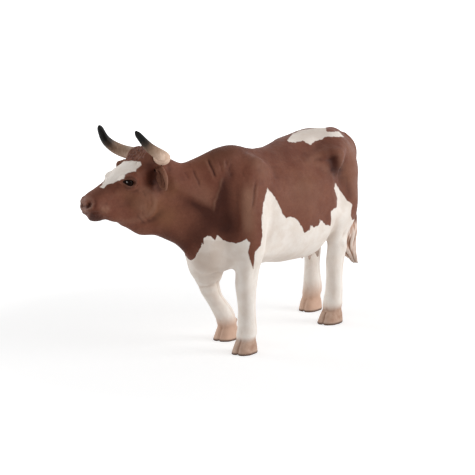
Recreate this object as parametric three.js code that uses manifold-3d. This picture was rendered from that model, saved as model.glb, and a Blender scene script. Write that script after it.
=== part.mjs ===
// Toy farm cow: a solid moulded figure of a horned cow, standing with its head turned to its right.
// The trunk carries eleven plugged-in mouldings: head, horns, ears, legs, tail and udder.
// Millimetres. +X is forward, +Y is the cow's left, +Z is up, and z = 0 is the ground.
import * as THREE from "three";
import { mergeVertices } from "three/addons/utils/BufferGeometryUtils.js";
import Module from "manifold-3d";

const wasm = await Module();
wasm.setup();

// Driving sizes of the body
const bodyLength = 84; // chest to rump
const barrelWidth = 35; // across the ribs
const withersHeight = 75; // ground to the top of the shoulders
const headLength = 31.5; // poll to muzzle
const headWidth = 15; // across the brows
const headDepth = 19; // forehead to the angle of the jaw
const headYaw = THREE.MathUtils.degToRad(-24); // turned to the cow's right
const headPitch = THREE.MathUtils.degToRad(33); // nose down
const headRoll = THREE.MathUtils.degToRad(4); // left side up

// Limbs, and what stands out from the body
const foreLegThickness = 7; // across the cannon bone
const hindLegThickness = 6.4;
const clawLength = 9.4;
const clawWidth = 3.8;
const clawHeight = 4.2;
const cleftWidth = 0.6; // between the two claws of a hoof
const dewclawSize = 2.2;
const hornLength = 21;
const hornThickness = 5.6;
const earLength = 12;
const earWidth = 6.6;
const earThickness = 3.2;
const tailThickness = 3.6;
const switchThickness = 5.6;
const udderWidth = 13;
const teatLength = 3;
const teatThickness = 2;
const eyeDiameter = 3.6;

// How the mouldings plug together
const fitClearance = 0.3; // between a peg and its socket, and along every seam
const neckPegDiameter = 11;
const neckPegLength = 9;
const legPegDiameter = 4.6;
const legPegLength = 6;
const smallPegDiameter = 2.4;
const smallPegLength = 3;

// Spacing of the mesh on each moulding, and the softness of the hollows between masses
const trunkMesh = 3.2;
const headMesh = 2.2;
const legMesh = 2.1;
const bodyFillet = 5;
const limbFillet = 3;
const faceFillet = 2.4;

// Masses of the body. Each row is a station of a swept mass: x, y, z, then its half-thickness along
// x, y and z, as shares of the body's length, of the barrel's width and of the withers' height.
const trunkShares = [
  // rib cage and rump
  [
    [0.36, 0, 0.67, 0.08, 0.3, 0.2],
    [0.22, 0, 0.65, 0.1, 0.42, 0.258],
    [0.05, 0, 0.635, 0.1, 0.49, 0.278],
    [-0.14, 0, 0.63, 0.1, 0.49, 0.288],
    [-0.3, 0, 0.68, 0.1, 0.4, 0.25],
    [-0.4, 0, 0.73, 0.09, 0.26, 0.19],
  ],
  // withers
  [
    [0.42, -0.02, 0.835, 0.08, 0.13, 0.11],
    [0.35, 0, 0.87, 0.09, 0.15, 0.12],
    [0.18, 0, 0.84, 0.08, 0.16, 0.1],
  ],
  // loin and croup
  [
    [0.1, 0, 0.86, 0.06, 0.14, 0.065],
    [-0.12, 0, 0.885, 0.06, 0.18, 0.07],
    [-0.3, 0, 0.89, 0.07, 0.2, 0.075],
    [-0.46, 0, 0.87, 0.05, 0.12, 0.065],
  ],
  // brisket
  [
    [0.485, -0.09, 0.51, 0.075, 0.2, 0.13],
    [0.4, -0.02, 0.49, 0.08, 0.26, 0.078],
    [0.24, 0, 0.48, 0.1, 0.3, 0.07],
  ],
  // neck
  [
    [0.393, -0.03, 0.72, 0.095, 0.27, 0.235],
    [0.53, -0.22, 0.725, 0.083, 0.229, 0.185],
    [0.635, -0.37, 0.78, 0.083, 0.2, 0.165],
  ],
  // crest of the neck
  [
    [0.43, -0.086, 0.878, 0.06, 0.114, 0.09],
    [0.565, -0.271, 0.835, 0.06, 0.1, 0.08],
    [0.665, -0.41, 0.88, 0.06, 0.114, 0.08],
  ],
  // dewlap
  [
    [0.49, -0.13, 0.53, 0.048, 0.1, 0.107],
    [0.57, -0.27, 0.605, 0.048, 0.1, 0.075],
    [0.67, -0.4, 0.655, 0.055, 0.11, 0.054],
    [0.725, -0.49, 0.66, 0.055, 0.12, 0.06],
    [0.8, -0.57, 0.687, 0.034, 0.06, 0.033],
  ],
];

// Masses on both sides of the body, written for the left.
const sideShares = [
  // shoulder blade and upper arm
  [
    [0.32, 0.243, 0.83, 0.071, 0.1, 0.107],
    [0.393, 0.3, 0.64, 0.083, 0.135, 0.12],
    [0.4, 0.285, 0.507, 0.075, 0.125, 0.08],
  ],
  // hook bone
  [
    [-0.24, 0.33, 0.84, 0.08, 0.15, 0.07],
    [-0.32, 0.2, 0.88, 0.08, 0.13, 0.06],
  ],
  // haunch
  [
    [-0.44, 0.14, 0.82, 0.05, 0.1, 0.08],
    [-0.38, 0.23, 0.73, 0.09, 0.13, 0.13],
    [-0.34, 0.28, 0.6, 0.09, 0.14, 0.12],
  ],
];

// Legs: x, y, z of each station in shares of the body, then half-thickness along x and y in shares
// of the leg's own.
const legShares = {
  left_foreleg: [
    [0.4, 0.275, 0.53, 0.85, 0.65],
    [0.395, 0.263, 0.42, 0.68, 0.6],
    [0.4, 0.257, 0.335, 0.6, 0.57],
    [0.393, 0.251, 0.22, 0.46, 0.48],
    [0.392, 0.251, 0.115, 0.52, 0.52],
    [0.402, 0.249, 0.07, 0.48, 0.52],
  ],
  right_foreleg: [
    [0.44, -0.27, 0.52, 0.95, 0.68],
    [0.416, -0.23, 0.42, 1.1, 0.85],
    [0.381, -0.249, 0.3, 0.6, 0.57],
    [0.325, -0.249, 0.21, 0.47, 0.48],
    [0.258, -0.249, 0.12, 0.52, 0.52],
    [0.242, -0.249, 0.07, 0.48, 0.52],
  ],
  left_hind_leg: [
    [-0.34, 0.26, 0.7, 1.2, 0.65],
    [-0.29, 0.32, 0.55, 1.1, 0.72],
    [-0.298, 0.3, 0.45, 0.88, 0.64],
    [-0.314, 0.264, 0.36, 0.62, 0.44],
    [-0.28, 0.257, 0.23, 0.48, 0.46],
    [-0.27, 0.254, 0.12, 0.54, 0.54],
    [-0.268, 0.251, 0.07, 0.5, 0.55],
  ],
  right_hind_leg: [
    [-0.36, -0.26, 0.7, 1.2, 0.65],
    [-0.34, -0.32, 0.55, 1.1, 0.72],
    [-0.4, -0.3, 0.45, 0.9, 0.64],
    [-0.45, -0.266, 0.36, 0.66, 0.48],
    [-0.44, -0.257, 0.23, 0.48, 0.46],
    [-0.438, -0.254, 0.12, 0.54, 0.54],
    [-0.428, -0.251, 0.07, 0.5, 0.55],
  ],
};

// Masses of the head, in its own frame: the poll is the origin, x runs down the face and z is up from
// the forehead. Shares of the head's length, width and depth.
const headShares = [
  // skull, forehead and poll
  [[0.24, 0, -0.43, 0.3, 0.46, 0.45]],
  [[0.29, 0, -0.2, 0.28, 0.42, 0.242]],
  [[0.045, 0, -0.17, 0.14, 0.49, 0.232]],
  // bridge of the nose and muzzle
  [
    [0.364, 0, -0.27, 0.13, 0.38, 0.3],
    [0.667, 0, -0.215, 0.13, 0.31, 0.27],
    [0.885, 0, -0.19, 0.115, 0.33, 0.265],
  ],
  // lower jaw and chin
  [
    [0.27, 0, -0.86, 0.16, 0.3, 0.263],
    [0.52, 0, -0.72, 0.13, 0.267, 0.235],
    [0.88, 0, -0.34, 0.11, 0.24, 0.152],
  ],
];
const headSideShares = [
  // horn base, cheek, brow and nostril
  [[0.07, 0.36, -0.13, 0.13, 0.2, 0.19]],
  [[0.3, 0.24, -0.68, 0.22, 0.213, 0.36]],
  [[0.42, 0.39, -0.13, 0.13, 0.15, 0.13]],
  [[0.935, 0.2, -0.12, 0.065, 0.127, 0.12]],
];

// Hollows: the flank on both sides, written for the left, and on the left only the groove before
// the shoulder, because the neck bends to the right.
const flankHollowShares = [
  [
    [-0.29, 0.57, 0.8, 0.05, 0.2, 0.08],
    [-0.26, 0.61, 0.68, 0.05, 0.2, 0.1],
  ],
];
const shoulderHollowShares = [
  [
    [0.5, 0.36, 0.66, 0.03, 0.12, 0.07],
    [0.49, 0.34, 0.5, 0.025, 0.1, 0.06],
  ],
];
const headHollowShares = [
  // behind the cheek and under the horn
  [[0.14, 0.5, -0.55, 0.12, 0.16, 0.25]],
];

const pollShare = [0.71, -0.475, 1.008];
const neckSeatShare = [0.488, -0.143, 0.733];
const neckWayShare = [0.738, -0.46, 0.816];

// Where each pair of legs plugs in: the seat slopes up from the midline to the side, between its rear
// and its front.
const foreSeat = {
  rearShare: 0.28,
  frontShare: 0.53,
  innerShare: 0.316,
  outerShare: 0.539,
  pegShare: 0.39,
};
const hindSeat = {
  rearShare: -0.56,
  frontShare: -0.18,
  innerShare: 0.335,
  outerShare: 0.61,
  pegShare: -0.33,
};
const underShare = 0.29; // below every belly, all belongs to the legs
const legOutShare = 0.27; // from the midline to the middle of a leg's seat

// A place on the body, from shares of its three sizes.
function bodyPlace([x, y, z]) {
  return new THREE.Vector3(x * bodyLength, y * barrelWidth, z * withersHeight);
}

const mirrored = (rows) => rows.map(([x, y, ...rest]) => [x, -y, ...rest]);

// A mass is a chain of ellipsoids in a frame; scale turns its shares into millimetres.
function mass(rows, scale, fillet, frame = new THREE.Matrix4()) {
  const stations = rows.map((row) => ({
    at: new THREE.Vector3(row[0], row[1], row[2]).multiply(scale),
    radii: new THREE.Vector3(row[3], row[4], row[5]).multiply(scale),
  }));
  return { stations, fillet, toFrame: frame.clone().invert() };
}

// How far a point lies outside one mass.
const local = new THREE.Vector3();
function outside(m, point) {
  local.copy(point).applyMatrix4(m.toFrame);
  let nearest = Infinity;
  const last = m.stations.length - 1;
  for (let i = 0; i < Math.max(last, 1); i++) {
    const a = m.stations[i];
    const b = m.stations[Math.min(i + 1, last)];
    const ux = b.at.x - a.at.x;
    const uy = b.at.y - a.at.y;
    const uz = b.at.z - a.at.z;
    const along = ux * ux + uy * uy + uz * uz;
    const run = (local.x - a.at.x) * ux + (local.y - a.at.y) * uy + (local.z - a.at.z) * uz;
    const t = along > 0 ? Math.min(Math.max(run / along, 0), 1) : 0;
    const rx = a.radii.x + (b.radii.x - a.radii.x) * t;
    const ry = a.radii.y + (b.radii.y - a.radii.y) * t;
    const rz = a.radii.z + (b.radii.z - a.radii.z) * t;
    const qx = (local.x - a.at.x - ux * t) / rx;
    const qy = (local.y - a.at.y - uy * t) / ry;
    const qz = (local.z - a.at.z - uz * t) / rz;
    const reach = Math.hypot(qx, qy, qz);
    const slope = Math.hypot(qx / rx, qy / ry, qz / rz);
    const d = slope > 0 ? (reach * (reach - 1)) / slope : -Math.min(rx, ry, rz);
    nearest = Math.min(nearest, d);
  }
  return nearest;
}

// How far a point lies outside all the masses, softly filled where they meet, less the hollows
// pressed into them.
function figureField(masses, hollows) {
  return (point) => {
    let d = outside(masses[0], point);
    for (let i = 1; i < masses.length; i++) {
      const { fillet } = masses[i];
      const e = outside(masses[i], point);
      const overlap = Math.max(fillet - Math.abs(d - e), 0) / fillet;
      d = Math.min(d, e) - (overlap * overlap * fillet) / 4;
    }
    for (const hollow of hollows) {
      const { fillet } = hollow;
      const e = -outside(hollow, point);
      const overlap = Math.max(fillet - Math.abs(d - e), 0) / fillet;
      d = Math.max(d, e) + (overlap * overlap * fillet) / 4;
    }
    return d;
  };
}

// The corners of a grid cell, its edges along x, y and z, and its faces as rings of corners.
// A corner's number has one bit for each axis along which it is the far one.
const axes = ["x", "y", "z"];
const bitOf = (axis) => 1 << axis % axes.length;
const cellCorners = Array.from({ length: bitOf(0) << axes.length }, (_, n) =>
  axes.map((_, axis) => (n & bitOf(axis) ? 1 : 0)),
);
const cellEdges = axes.flatMap((_, axis) =>
  cellCorners.flatMap((_, n) => (n & bitOf(axis) ? [] : [[n, n | bitOf(axis)]])),
);
const cellFaces = axes.flatMap((_, axis) =>
  [0, bitOf(axis)].map((base) => {
    const u = bitOf(axis + 1);
    const v = bitOf(axis + 2);
    return [base, base | u, base | u | v, base | v];
  }),
);
const edgeOf = (a, b) =>
  cellEdges.findIndex(([p, q]) => (p === a && q === b) || (p === b && q === a));
const faceEdges = cellFaces.map((ring) => ring.map((a, m) => edgeOf(a, ring[(m + 1) % 4])));

// The loops in which the surface crosses a cell's edges: each run of inside corners on a face ties
// two crossings.
function crossingLoops(inside) {
  const loopOf = cellEdges.map(([a, b], e) => (inside[a] !== inside[b] ? e : -1));
  cellFaces.forEach((ring, f) => {
    ring.forEach((corner, m) => {
      if (!inside[corner] || inside[ring[(m + 3) % 4]]) return;
      let end = m;
      while (inside[ring[(end + 1) % 4]]) end++;
      const from = loopOf[faceEdges[f][(m + 3) % 4]];
      const to = loopOf[faceEdges[f][end % 4]];
      loopOf.forEach((loop, e) => {
        if (loop === from) loopOf[e] = to;
      });
    });
  });
  return loopOf;
}

// The skin of a field inside a box: one vertex for each loop of the surface in a cell, drawn onto
// the surface.
function skin(field, box, step) {
  const count = box.getSize(new THREE.Vector3()).divideScalar(step).ceil();
  const size = [count.x + 1, count.y + 1, count.z + 1];
  const strides = [1, size[0], size[0] * size[1]];
  const place = (i, j, k) => new THREE.Vector3(i, j, k).multiplyScalar(step).add(box.min);
  const value = new Float64Array(size[0] * size[1] * size[2]);
  const cells = [];
  for (let k = 0; k < size[2]; k++)
    for (let j = 0; j < size[1]; j++)
      for (let i = 0; i < size[0]; i++) {
        const rim = [i, j, k].some((n, axis) => n === 0 || n === size[axis] - 1);
        const d = field(place(i, j, k));
        const here = i + j * strides[1] + k * strides[2];
        value[here] = rim ? Math.max(d, step / 4) : d;
        if ([i, j, k].every((n, axis) => n < size[axis] - 1)) cells.push([i, j, k, here]);
      }
  const vertices = [];
  const vertexAt = new Map();
  for (const [i, j, k, here] of cells) {
    const at = cellCorners.map(([x, y, z]) => here + x * strides[0] + y * strides[1] + z * strides[2]);
    const inside = at.map((n) => value[n] < 0);
    if (inside.every((is) => is === inside[0])) continue;
    const loopOf = crossingLoops(inside);
    for (const loop of new Set(loopOf.filter((n) => n >= 0))) {
      const sum = new THREE.Vector3();
      let crossings = 0;
      cellEdges.forEach(([a, b], e) => {
        if (loopOf[e] !== loop) return;
        const from = place(i + cellCorners[a][0], j + cellCorners[a][1], k + cellCorners[a][2]);
        const to = place(i + cellCorners[b][0], j + cellCorners[b][1], k + cellCorners[b][2]);
        sum.add(from.lerp(to, value[at[a]] / (value[at[a]] - value[at[b]])));
        crossings++;
        vertexAt.set(`${here} ${at[a]} ${at[b]}`, vertices.length);
      });
      vertices.push(drawnTo(field, sum.divideScalar(crossings), box, step));
    }
  }
  return solidFrom(vertices, skinFaces(value, strides, size, vertexAt, vertices));
}

// Moves a vertex down the field's slope onto its surface, but leaves those on the rim of the box.
const rimShare = 1.5;
const probeShare = 0.02;
const drawTurns = 3;
function drawnTo(field, vertex, box, step) {
  const inner = box.clone().expandByScalar(-rimShare * step);
  if (!inner.containsPoint(vertex)) return vertex;
  const probe = probeShare * step;
  const start = vertex.clone();
  for (let turn = 0; turn < drawTurns; turn++) {
    const d = field(vertex);
    const slope = new THREE.Vector3(
      ...axes.map((axis) => {
        const beside = vertex.clone();
        beside[axis] += probe;
        return (field(beside) - d) / probe;
      }),
    );
    vertex.addScaledVector(slope, THREE.MathUtils.clamp(-d / slope.lengthSq(), -step / 2, step / 2));
  }
  return vertex.sub(start).clampLength(0, step / 2).add(start);
}

// Two triangles across each grid edge that the surface crosses, split along the shorter diagonal.
function skinFaces(value, strides, size, vertexAt, vertices) {
  const faces = [];
  for (let k = 0; k < size[2] - 1; k++)
    for (let j = 0; j < size[1] - 1; j++)
      for (let i = 0; i < size[0] - 1; i++)
        for (let axis = 0; axis < 3; axis++) {
          const here = i + j * strides[1] + k * strides[2];
          const next = here + strides[axis];
          const inside = value[here] < 0;
          if (inside === value[next] < 0) continue;
          const u = strides[(axis + 1) % 3];
          const v = strides[(axis + 2) % 3];
          const cells = [here, here - u, here - u - v, here - v];
          const ring = cells.map((cell) => vertexAt.get(`${cell} ${here} ${next}`));
          if (!inside) ring.reverse();
          const [a, b, c, d] = ring;
          const across = vertices[a].distanceTo(vertices[c]);
          if (across <= vertices[b].distanceTo(vertices[d])) faces.push(a, b, c, a, c, d);
          else faces.push(b, c, d, b, d, a);
        }
  return faces;
}

function solidFrom(vertices, faces) {
  const mesh = new wasm.Mesh({
    numProp: 3,
    vertProperties: new Float32Array(vertices.flatMap((v) => [v.x, v.y, v.z])),
    triVerts: new Uint32Array(faces),
  });
  return new wasm.Manifold(mesh);
}

// A three.js geometry as a solid that can be joined and cut.
const weldShare = 1 / 3000;
function solid(geometry, matrix = new THREE.Matrix4()) {
  const bare = geometry.clone().applyMatrix4(matrix);
  bare.deleteAttribute("normal");
  bare.deleteAttribute("uv");
  const merged = mergeVertices(bare, weldShare * fitClearance);
  const { position } = merged.attributes;
  const vertices = Array.from({ length: position.count }, (_, i) =>
    new THREE.Vector3().fromBufferAttribute(position, i),
  );
  return solidFrom(vertices, Array.from(merged.index.array));
}

// A matrix that carries +Z onto a direction, at a place.
function aimed(at, direction) {
  const turn = new THREE.Quaternion().setFromUnitVectors(
    new THREE.Vector3(0, 0, 1),
    direction.clone().normalize(),
  );
  return new THREE.Matrix4().compose(at, turn, new THREE.Vector3(1, 1, 1));
}

// A round peg that starts a little behind its seat and tapers towards its end.
const pegTaper = 0.9;
const pegSides = 12;
function peg(diameter, length, at, direction, grow = 0) {
  const root = 2 * fitClearance;
  const tall = length + root + grow;
  const geometry = new THREE.CylinderGeometry(
    (pegTaper * diameter) / 2 + grow,
    diameter / 2 + grow,
    tall,
    pegSides,
  )
    .rotateX(Math.PI / 2)
    .translate(0, 0, tall / 2 - root);
  return solid(geometry, aimed(at, direction));
}

// A tube along a curve, thick as radiusAt says, closed at both ends.
function taperedTube(curve, radiusAt, rings, sides) {
  const frames = curve.computeFrenetFrames(rings);
  const vertices = [curve.getPointAt(0)];
  for (let i = 0; i <= rings; i++) {
    const centre = curve.getPointAt(i / rings);
    for (let j = 0; j < sides; j++) {
      const angle = (2 * Math.PI * j) / sides;
      const [across, up] = radiusAt(i / rings, angle);
      vertices.push(
        centre
          .clone()
          .addScaledVector(frames.normals[i], across * Math.cos(angle))
          .addScaledVector(frames.binormals[i], up * Math.sin(angle)),
      );
    }
  }
  vertices.push(curve.getPointAt(1));
  const faces = [];
  const at = (i, j) => 1 + i * sides + (j % sides);
  for (let j = 0; j < sides; j++) {
    faces.push(0, at(0, j + 1), at(0, j));
    faces.push(vertices.length - 1, at(rings, j), at(rings, j + 1));
    for (let i = 0; i < rings; i++) {
      faces.push(at(i, j), at(i, j + 1), at(i + 1, j + 1));
      faces.push(at(i, j), at(i + 1, j + 1), at(i + 1, j));
    }
  }
  const made = solidFrom(vertices, faces);
  return made.volume() > 0 ? made : solidFrom(vertices, faces.reverse());
}

// Everything in front of a plane at a place, as a block.
const cutReach = 2 * bodyLength;
function blockBeyond(at, direction) {
  const block = new THREE.BoxGeometry(cutReach, cutReach, cutReach);
  return solid(block.translate(0, 0, cutReach / 2), aimed(at, direction));
}

// The frames of the head: turned and dipped for the skull, only turned for the horns.
const poll = bodyPlace(pollShare);
const turned = new THREE.Matrix4()
  .makeTranslation(poll)
  .multiply(new THREE.Matrix4().makeRotationZ(headYaw))
  .multiply(new THREE.Matrix4().makeRotationX(headRoll));
const dipped = turned.clone().multiply(new THREE.Matrix4().makeRotationY(headPitch));
const headScale = new THREE.Vector3(headLength, headWidth, headDepth);
const bodyScale = new THREE.Vector3(bodyLength, barrelWidth, withersHeight);
const onHead = (share, frame = dipped) =>
  new THREE.Vector3(...share).multiply(headScale).applyMatrix4(frame);

const bothSides = (masses) => [...masses, ...masses.map(mirrored)];

// All the masses of the cow, and the hollows pressed into them.
const bodyMasses = [...trunkShares, ...bothSides(sideShares)].map((rows) =>
  mass(rows, bodyScale, bodyFillet),
);
const headMasses = [...headShares, ...bothSides(headSideShares)].map((rows) =>
  mass(rows, headScale, faceFillet, dipped),
);
const legThickness = (name) => (name.endsWith("foreleg") ? foreLegThickness : hindLegThickness);
const legMasses = Object.entries(legShares).map(([name, rows]) => {
  const stations = rows.map(([x, y, z, alongShare, acrossShare]) => ({
    at: bodyPlace([x, y, z]),
    radii: new THREE.Vector3(alongShare, acrossShare, alongShare).multiplyScalar(legThickness(name)),
  }));
  return { stations, fillet: limbFillet, toFrame: new THREE.Matrix4() };
});
const bodyHollows = [...bothSides(flankHollowShares), ...shoulderHollowShares].map((rows) =>
  mass(rows, bodyScale, bodyFillet),
);
const headHollows = bothSides(headHollowShares).map((rows) =>
  mass(rows, headScale, faceFillet, dipped),
);
const figure = figureField(
  [...bodyMasses, ...headMasses, ...legMasses],
  [...bodyHollows, ...headHollows],
);

const neckSeat = bodyPlace(neckSeatShare);
const neckWay = bodyPlace(neckWayShare).sub(neckSeat).normalize();

// Outlines drawn across the cow grow forward, and outlines drawn along it grow to its right.
const acrossFrame = new THREE.Matrix4().makeBasis(
  new THREE.Vector3(0, 1, 0),
  new THREE.Vector3(0, 0, 1),
  new THREE.Vector3(1, 0, 0),
);
const alongFrame = new THREE.Matrix4().makeBasis(
  new THREE.Vector3(1, 0, 0),
  new THREE.Vector3(0, 0, 1),
  new THREE.Vector3(0, -1, 0),
);

// The space that a leg takes: an arch seen from the side, under a seat that slopes up and outwards,
// and all that is lower than the belly.
function legSpace(seat, side, grow) {
  const slope = ((seat.outerShare - seat.innerShare) * withersHeight) / (barrelWidth / 2);
  const lift = seat.innerShare * withersHeight + grow;
  const under = underShare * withersHeight;
  const rear = seat.rearShare * bodyLength - grow;
  const front = seat.frontShare * bodyLength + grow;
  const rise = seat.outerShare * withersHeight + grow - under;

  const wedge = new THREE.Shape();
  wedge.moveTo(0, -clawHeight);
  wedge.lineTo(side * barrelWidth, -clawHeight);
  wedge.lineTo(side * barrelWidth, lift + slope * barrelWidth);
  wedge.lineTo(0, lift);
  const wedgeSolid = new THREE.ExtrudeGeometry(wedge, { depth: front - rear, bevelEnabled: false });
  const wedgePlace = new THREE.Matrix4().makeTranslation(rear, 0, 0).multiply(acrossFrame);

  const arch = new THREE.Shape();
  arch.moveTo(front, -clawHeight);
  arch.lineTo(front, under);
  arch.absellipse((rear + front) / 2, under, (front - rear) / 2, rise, 0, Math.PI);
  arch.lineTo(rear, -clawHeight);
  const archSolid = new THREE.ExtrudeGeometry(arch, {
    depth: barrelWidth,
    curveSegments: 20,
    bevelEnabled: false,
  });
  const archPlace = new THREE.Matrix4()
    .makeTranslation(0, side > 0 ? barrelWidth : 0, 0)
    .multiply(alongFrame);

  const low = new THREE.BoxGeometry(bodyLength, barrelWidth, under + clawHeight);
  low.translate(
    (Math.sign(seat.pegShare) * bodyLength) / 2,
    (side * barrelWidth) / 2,
    (under - clawHeight) / 2,
  );
  return solid(wedgeSolid, wedgePlace).intersect(solid(archSolid, archPlace)).add(solid(low));
}

// Where a leg's peg stands on its seat, and the way that it points.
function legPeg(seat, side, grow) {
  const rise = (seat.outerShare - seat.innerShare) * withersHeight;
  const way = new THREE.Vector3(0, (-side * rise) / (barrelWidth / 2), 1).normalize();
  const y = side * legOutShare * barrelWidth;
  const z = seat.innerShare * withersHeight + (rise * legOutShare * barrelWidth) / (barrelWidth / 2);
  return peg(legPegDiameter, legPegLength, new THREE.Vector3(seat.pegShare * bodyLength, y, z), way, grow);
}

// One claw of a hoof: half of a rounded sole, drawn in and leaned back as it rises.
const clawTopShare = 0.8;
const clawLeanShare = 0.1;
const soleShares = [
  [-0.45, 0],
  [-0.5, 0.45],
  [-0.36, 0.9],
  [0, 1],
  [0.3, 0.86],
  [0.46, 0.5],
  [0.5, 0.12],
];
function claw(toe, side) {
  const sole = new THREE.Shape();
  const [heel, ...rest] = soleShares.map(
    ([x, y]) => new THREE.Vector2(x * clawLength, side * (cleftWidth / 2 + y * clawWidth)),
  );
  sole.moveTo(heel.x, heel.y);
  sole.splineThru(rest);
  sole.lineTo(rest[rest.length - 1].x, heel.y);
  const geometry = new THREE.ExtrudeGeometry(sole, {
    depth: clawHeight,
    curveSegments: 2,
    bevelEnabled: false,
  });
  const { position } = geometry.attributes;
  for (let i = 0; i < position.count; i++) {
    const up = position.getZ(i) / clawHeight;
    const narrow = 1 - (1 - clawTopShare) * up;
    const inner = (side * cleftWidth) / 2;
    position.setX(i, position.getX(i) * narrow - clawLeanShare * up * clawLength);
    position.setY(i, inner + (position.getY(i) - inner) * narrow);
  }
  return solid(geometry, new THREE.Matrix4().makeTranslation(toe.x, toe.y, 0));
}

// The two small claws that stand out behind the pastern.
function dewclaw(pastern, reach, side) {
  const knob = new THREE.SphereGeometry(dewclawSize / 2, 8, 6);
  const place = new THREE.Vector3(pastern.x - reach, pastern.y, clawHeight + dewclawSize);
  place.y += (side * dewclawSize) / 2;
  return solid(knob, new THREE.Matrix4().setPosition(place));
}

// The spaces that the skins are drawn in.
const spaceBetween = (low, high) => new THREE.Box3(bodyPlace(low), bodyPlace(high));
const trunkSpaceShares = [
  [-0.62, -0.66, 0.2],
  [0.72, 0.66, 1.12],
];
const trunkSpace = spaceBetween(...trunkSpaceShares);
const headReachShares = [
  [1.12, 0.8, 0.25],
  [1.12, 0.8, -0.9],
  [-0.25, 1.2, 0.3],
  [-0.6, 1.6, -3.4],
];
const headSpace = new THREE.Box3()
  .setFromPoints(headReachShares.flatMap(([x, y, z]) => [onHead([x, y, z]), onHead([x, -y, z])]))
  .expandByPoint(neckSeat.clone().addScaledVector(neckWay, -headWidth));

// The trunk and the head with the clearance around them, to cut what stands on them.
const nearFigure = (point) => figure(point) - fitClearance;
const trunkClear = skin(nearFigure, trunkSpace, trunkMesh);
const headClear = skin(nearFigure, headSpace, headMesh);

const toeReachShare = 0.13;
const legReachShares = {
  fore: [0.05, 0.64],
  hind: [-0.66, -0.1],
  innerShare: -0.08,
  outerShare: 0.68,
  lowShare: -0.03,
  highShare: 0.72,
};
function makeLeg(name) {
  const fore = name.endsWith("foreleg");
  const side = name.startsWith("left") ? 1 : -1;
  const seat = fore ? foreSeat : hindSeat;
  const [rearShare, frontShare] = legReachShares[fore ? "fore" : "hind"];
  const { innerShare, outerShare, lowShare, highShare } = legReachShares;
  const inner = [rearShare, side * innerShare, lowShare];
  const outer = [frontShare, side * outerShare, highShare];
  const space = new THREE.Box3().setFromPoints([inner, outer].map(bodyPlace));
  const limb = skin(figure, space, legMesh)
    .intersect(legSpace(seat, side, 0))
    .subtract(blockBeyond(neckSeat, neckWay));
  const rows = legShares[name];
  const last = rows[rows.length - 1];
  const pastern = bodyPlace(last);
  const reach = last[3] * legThickness(name);
  const toe = pastern.clone();
  toe.x += toeReachShare * clawLength;
  return [claw(toe, 1), claw(toe, -1), dewclaw(pastern, reach, 1), dewclaw(pastern, reach, -1)]
    .reduce((all, piece) => all.add(piece), limb)
    .add(legPeg(seat, side, 0));
}

function makeTrunk() {
  let trunk = skin(figure, trunkSpace, trunkMesh).subtract(blockBeyond(neckSeat, neckWay));
  for (const side of [1, -1]) {
    for (const seat of [foreSeat, hindSeat]) {
      trunk = trunk
        .subtract(legSpace(seat, side, fitClearance))
        .subtract(legPeg(seat, side, fitClearance));
    }
  }
  return trunk
    .subtract(neckPeg(fitClearance))
    .subtract(tailPeg(fitClearance))
    .subtract(udderPeg(fitClearance));
}

function neckPeg(grow) {
  const start = neckSeat.clone().addScaledVector(neckWay, fitClearance);
  return peg(neckPegDiameter, neckPegLength, start, neckWay.clone().negate(), grow);
}

// A plug at the place where a path leaves the figure: it points back along the path, into the
// larger moulding.
const exitSteps = 60;
function plug(pathAt, grow) {
  let t = 0;
  while (t < 1 && figure(pathAt(t)) < fitClearance) t += 1 / exitSteps;
  const start = pathAt(t);
  const way = pathAt(t - 1 / exitSteps).sub(start);
  return peg(smallPegDiameter, smallPegLength, start, way, grow);
}

// Where the horns and the ears stand on the head, for one side.
const hornRootShare = [0.02, 0.2, -0.09];
const hornReachShare = 1.45;
const hornShares = [
  [0, 0, 0],
  [-0.03, 0.42, -0.03],
  [0.05, 0.62, 0.03],
  [0.21, 0.6, 0.2],
  [0.345, 0.475, 0.485],
];
const hornWaistShares = [0.82, 0.84, 0.86, 0.86, 0.83, 0.77, 0.68, 0.58, 0.47, 0.35];
const hornTipShare = 0.45;
const hornRings = 18;
const hornSides = 10;
function hornCurve(side) {
  const [rx, ry, rz] = hornRootShare;
  const places = hornShares.map(([x, y, z]) =>
    new THREE.Vector3(
      rx * headLength + x * hornLength * hornReachShare,
      side * (ry * headWidth + y * hornLength),
      rz * headDepth + z * hornLength,
    ).applyMatrix4(turned),
  );
  return new THREE.CatmullRomCurve3(places, false, "centripetal");
}

// A radius read between the entries of a list, t from 0 to 1.
function between(list, t) {
  const place = t * (list.length - 1);
  const i = Math.min(Math.floor(place), list.length - 2);
  return list[i] + (list[i + 1] - list[i]) * (place - i);
}

const hornPeg = (side, grow) => plug((t) => hornCurve(side).getPointAt(Math.max(t, 0)), grow);

function makeHorn(side) {
  const radiusAt = (t) => {
    const radius = (between(hornWaistShares, t) * hornThickness) / 2;
    return t < 1 ? [radius, radius] : [radius * hornTipShare, radius * hornTipShare];
  };
  const horn = taperedTube(hornCurve(side), radiusAt, hornRings, hornSides);
  return horn.subtract(headClear).add(hornPeg(side, 0));
}

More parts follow.
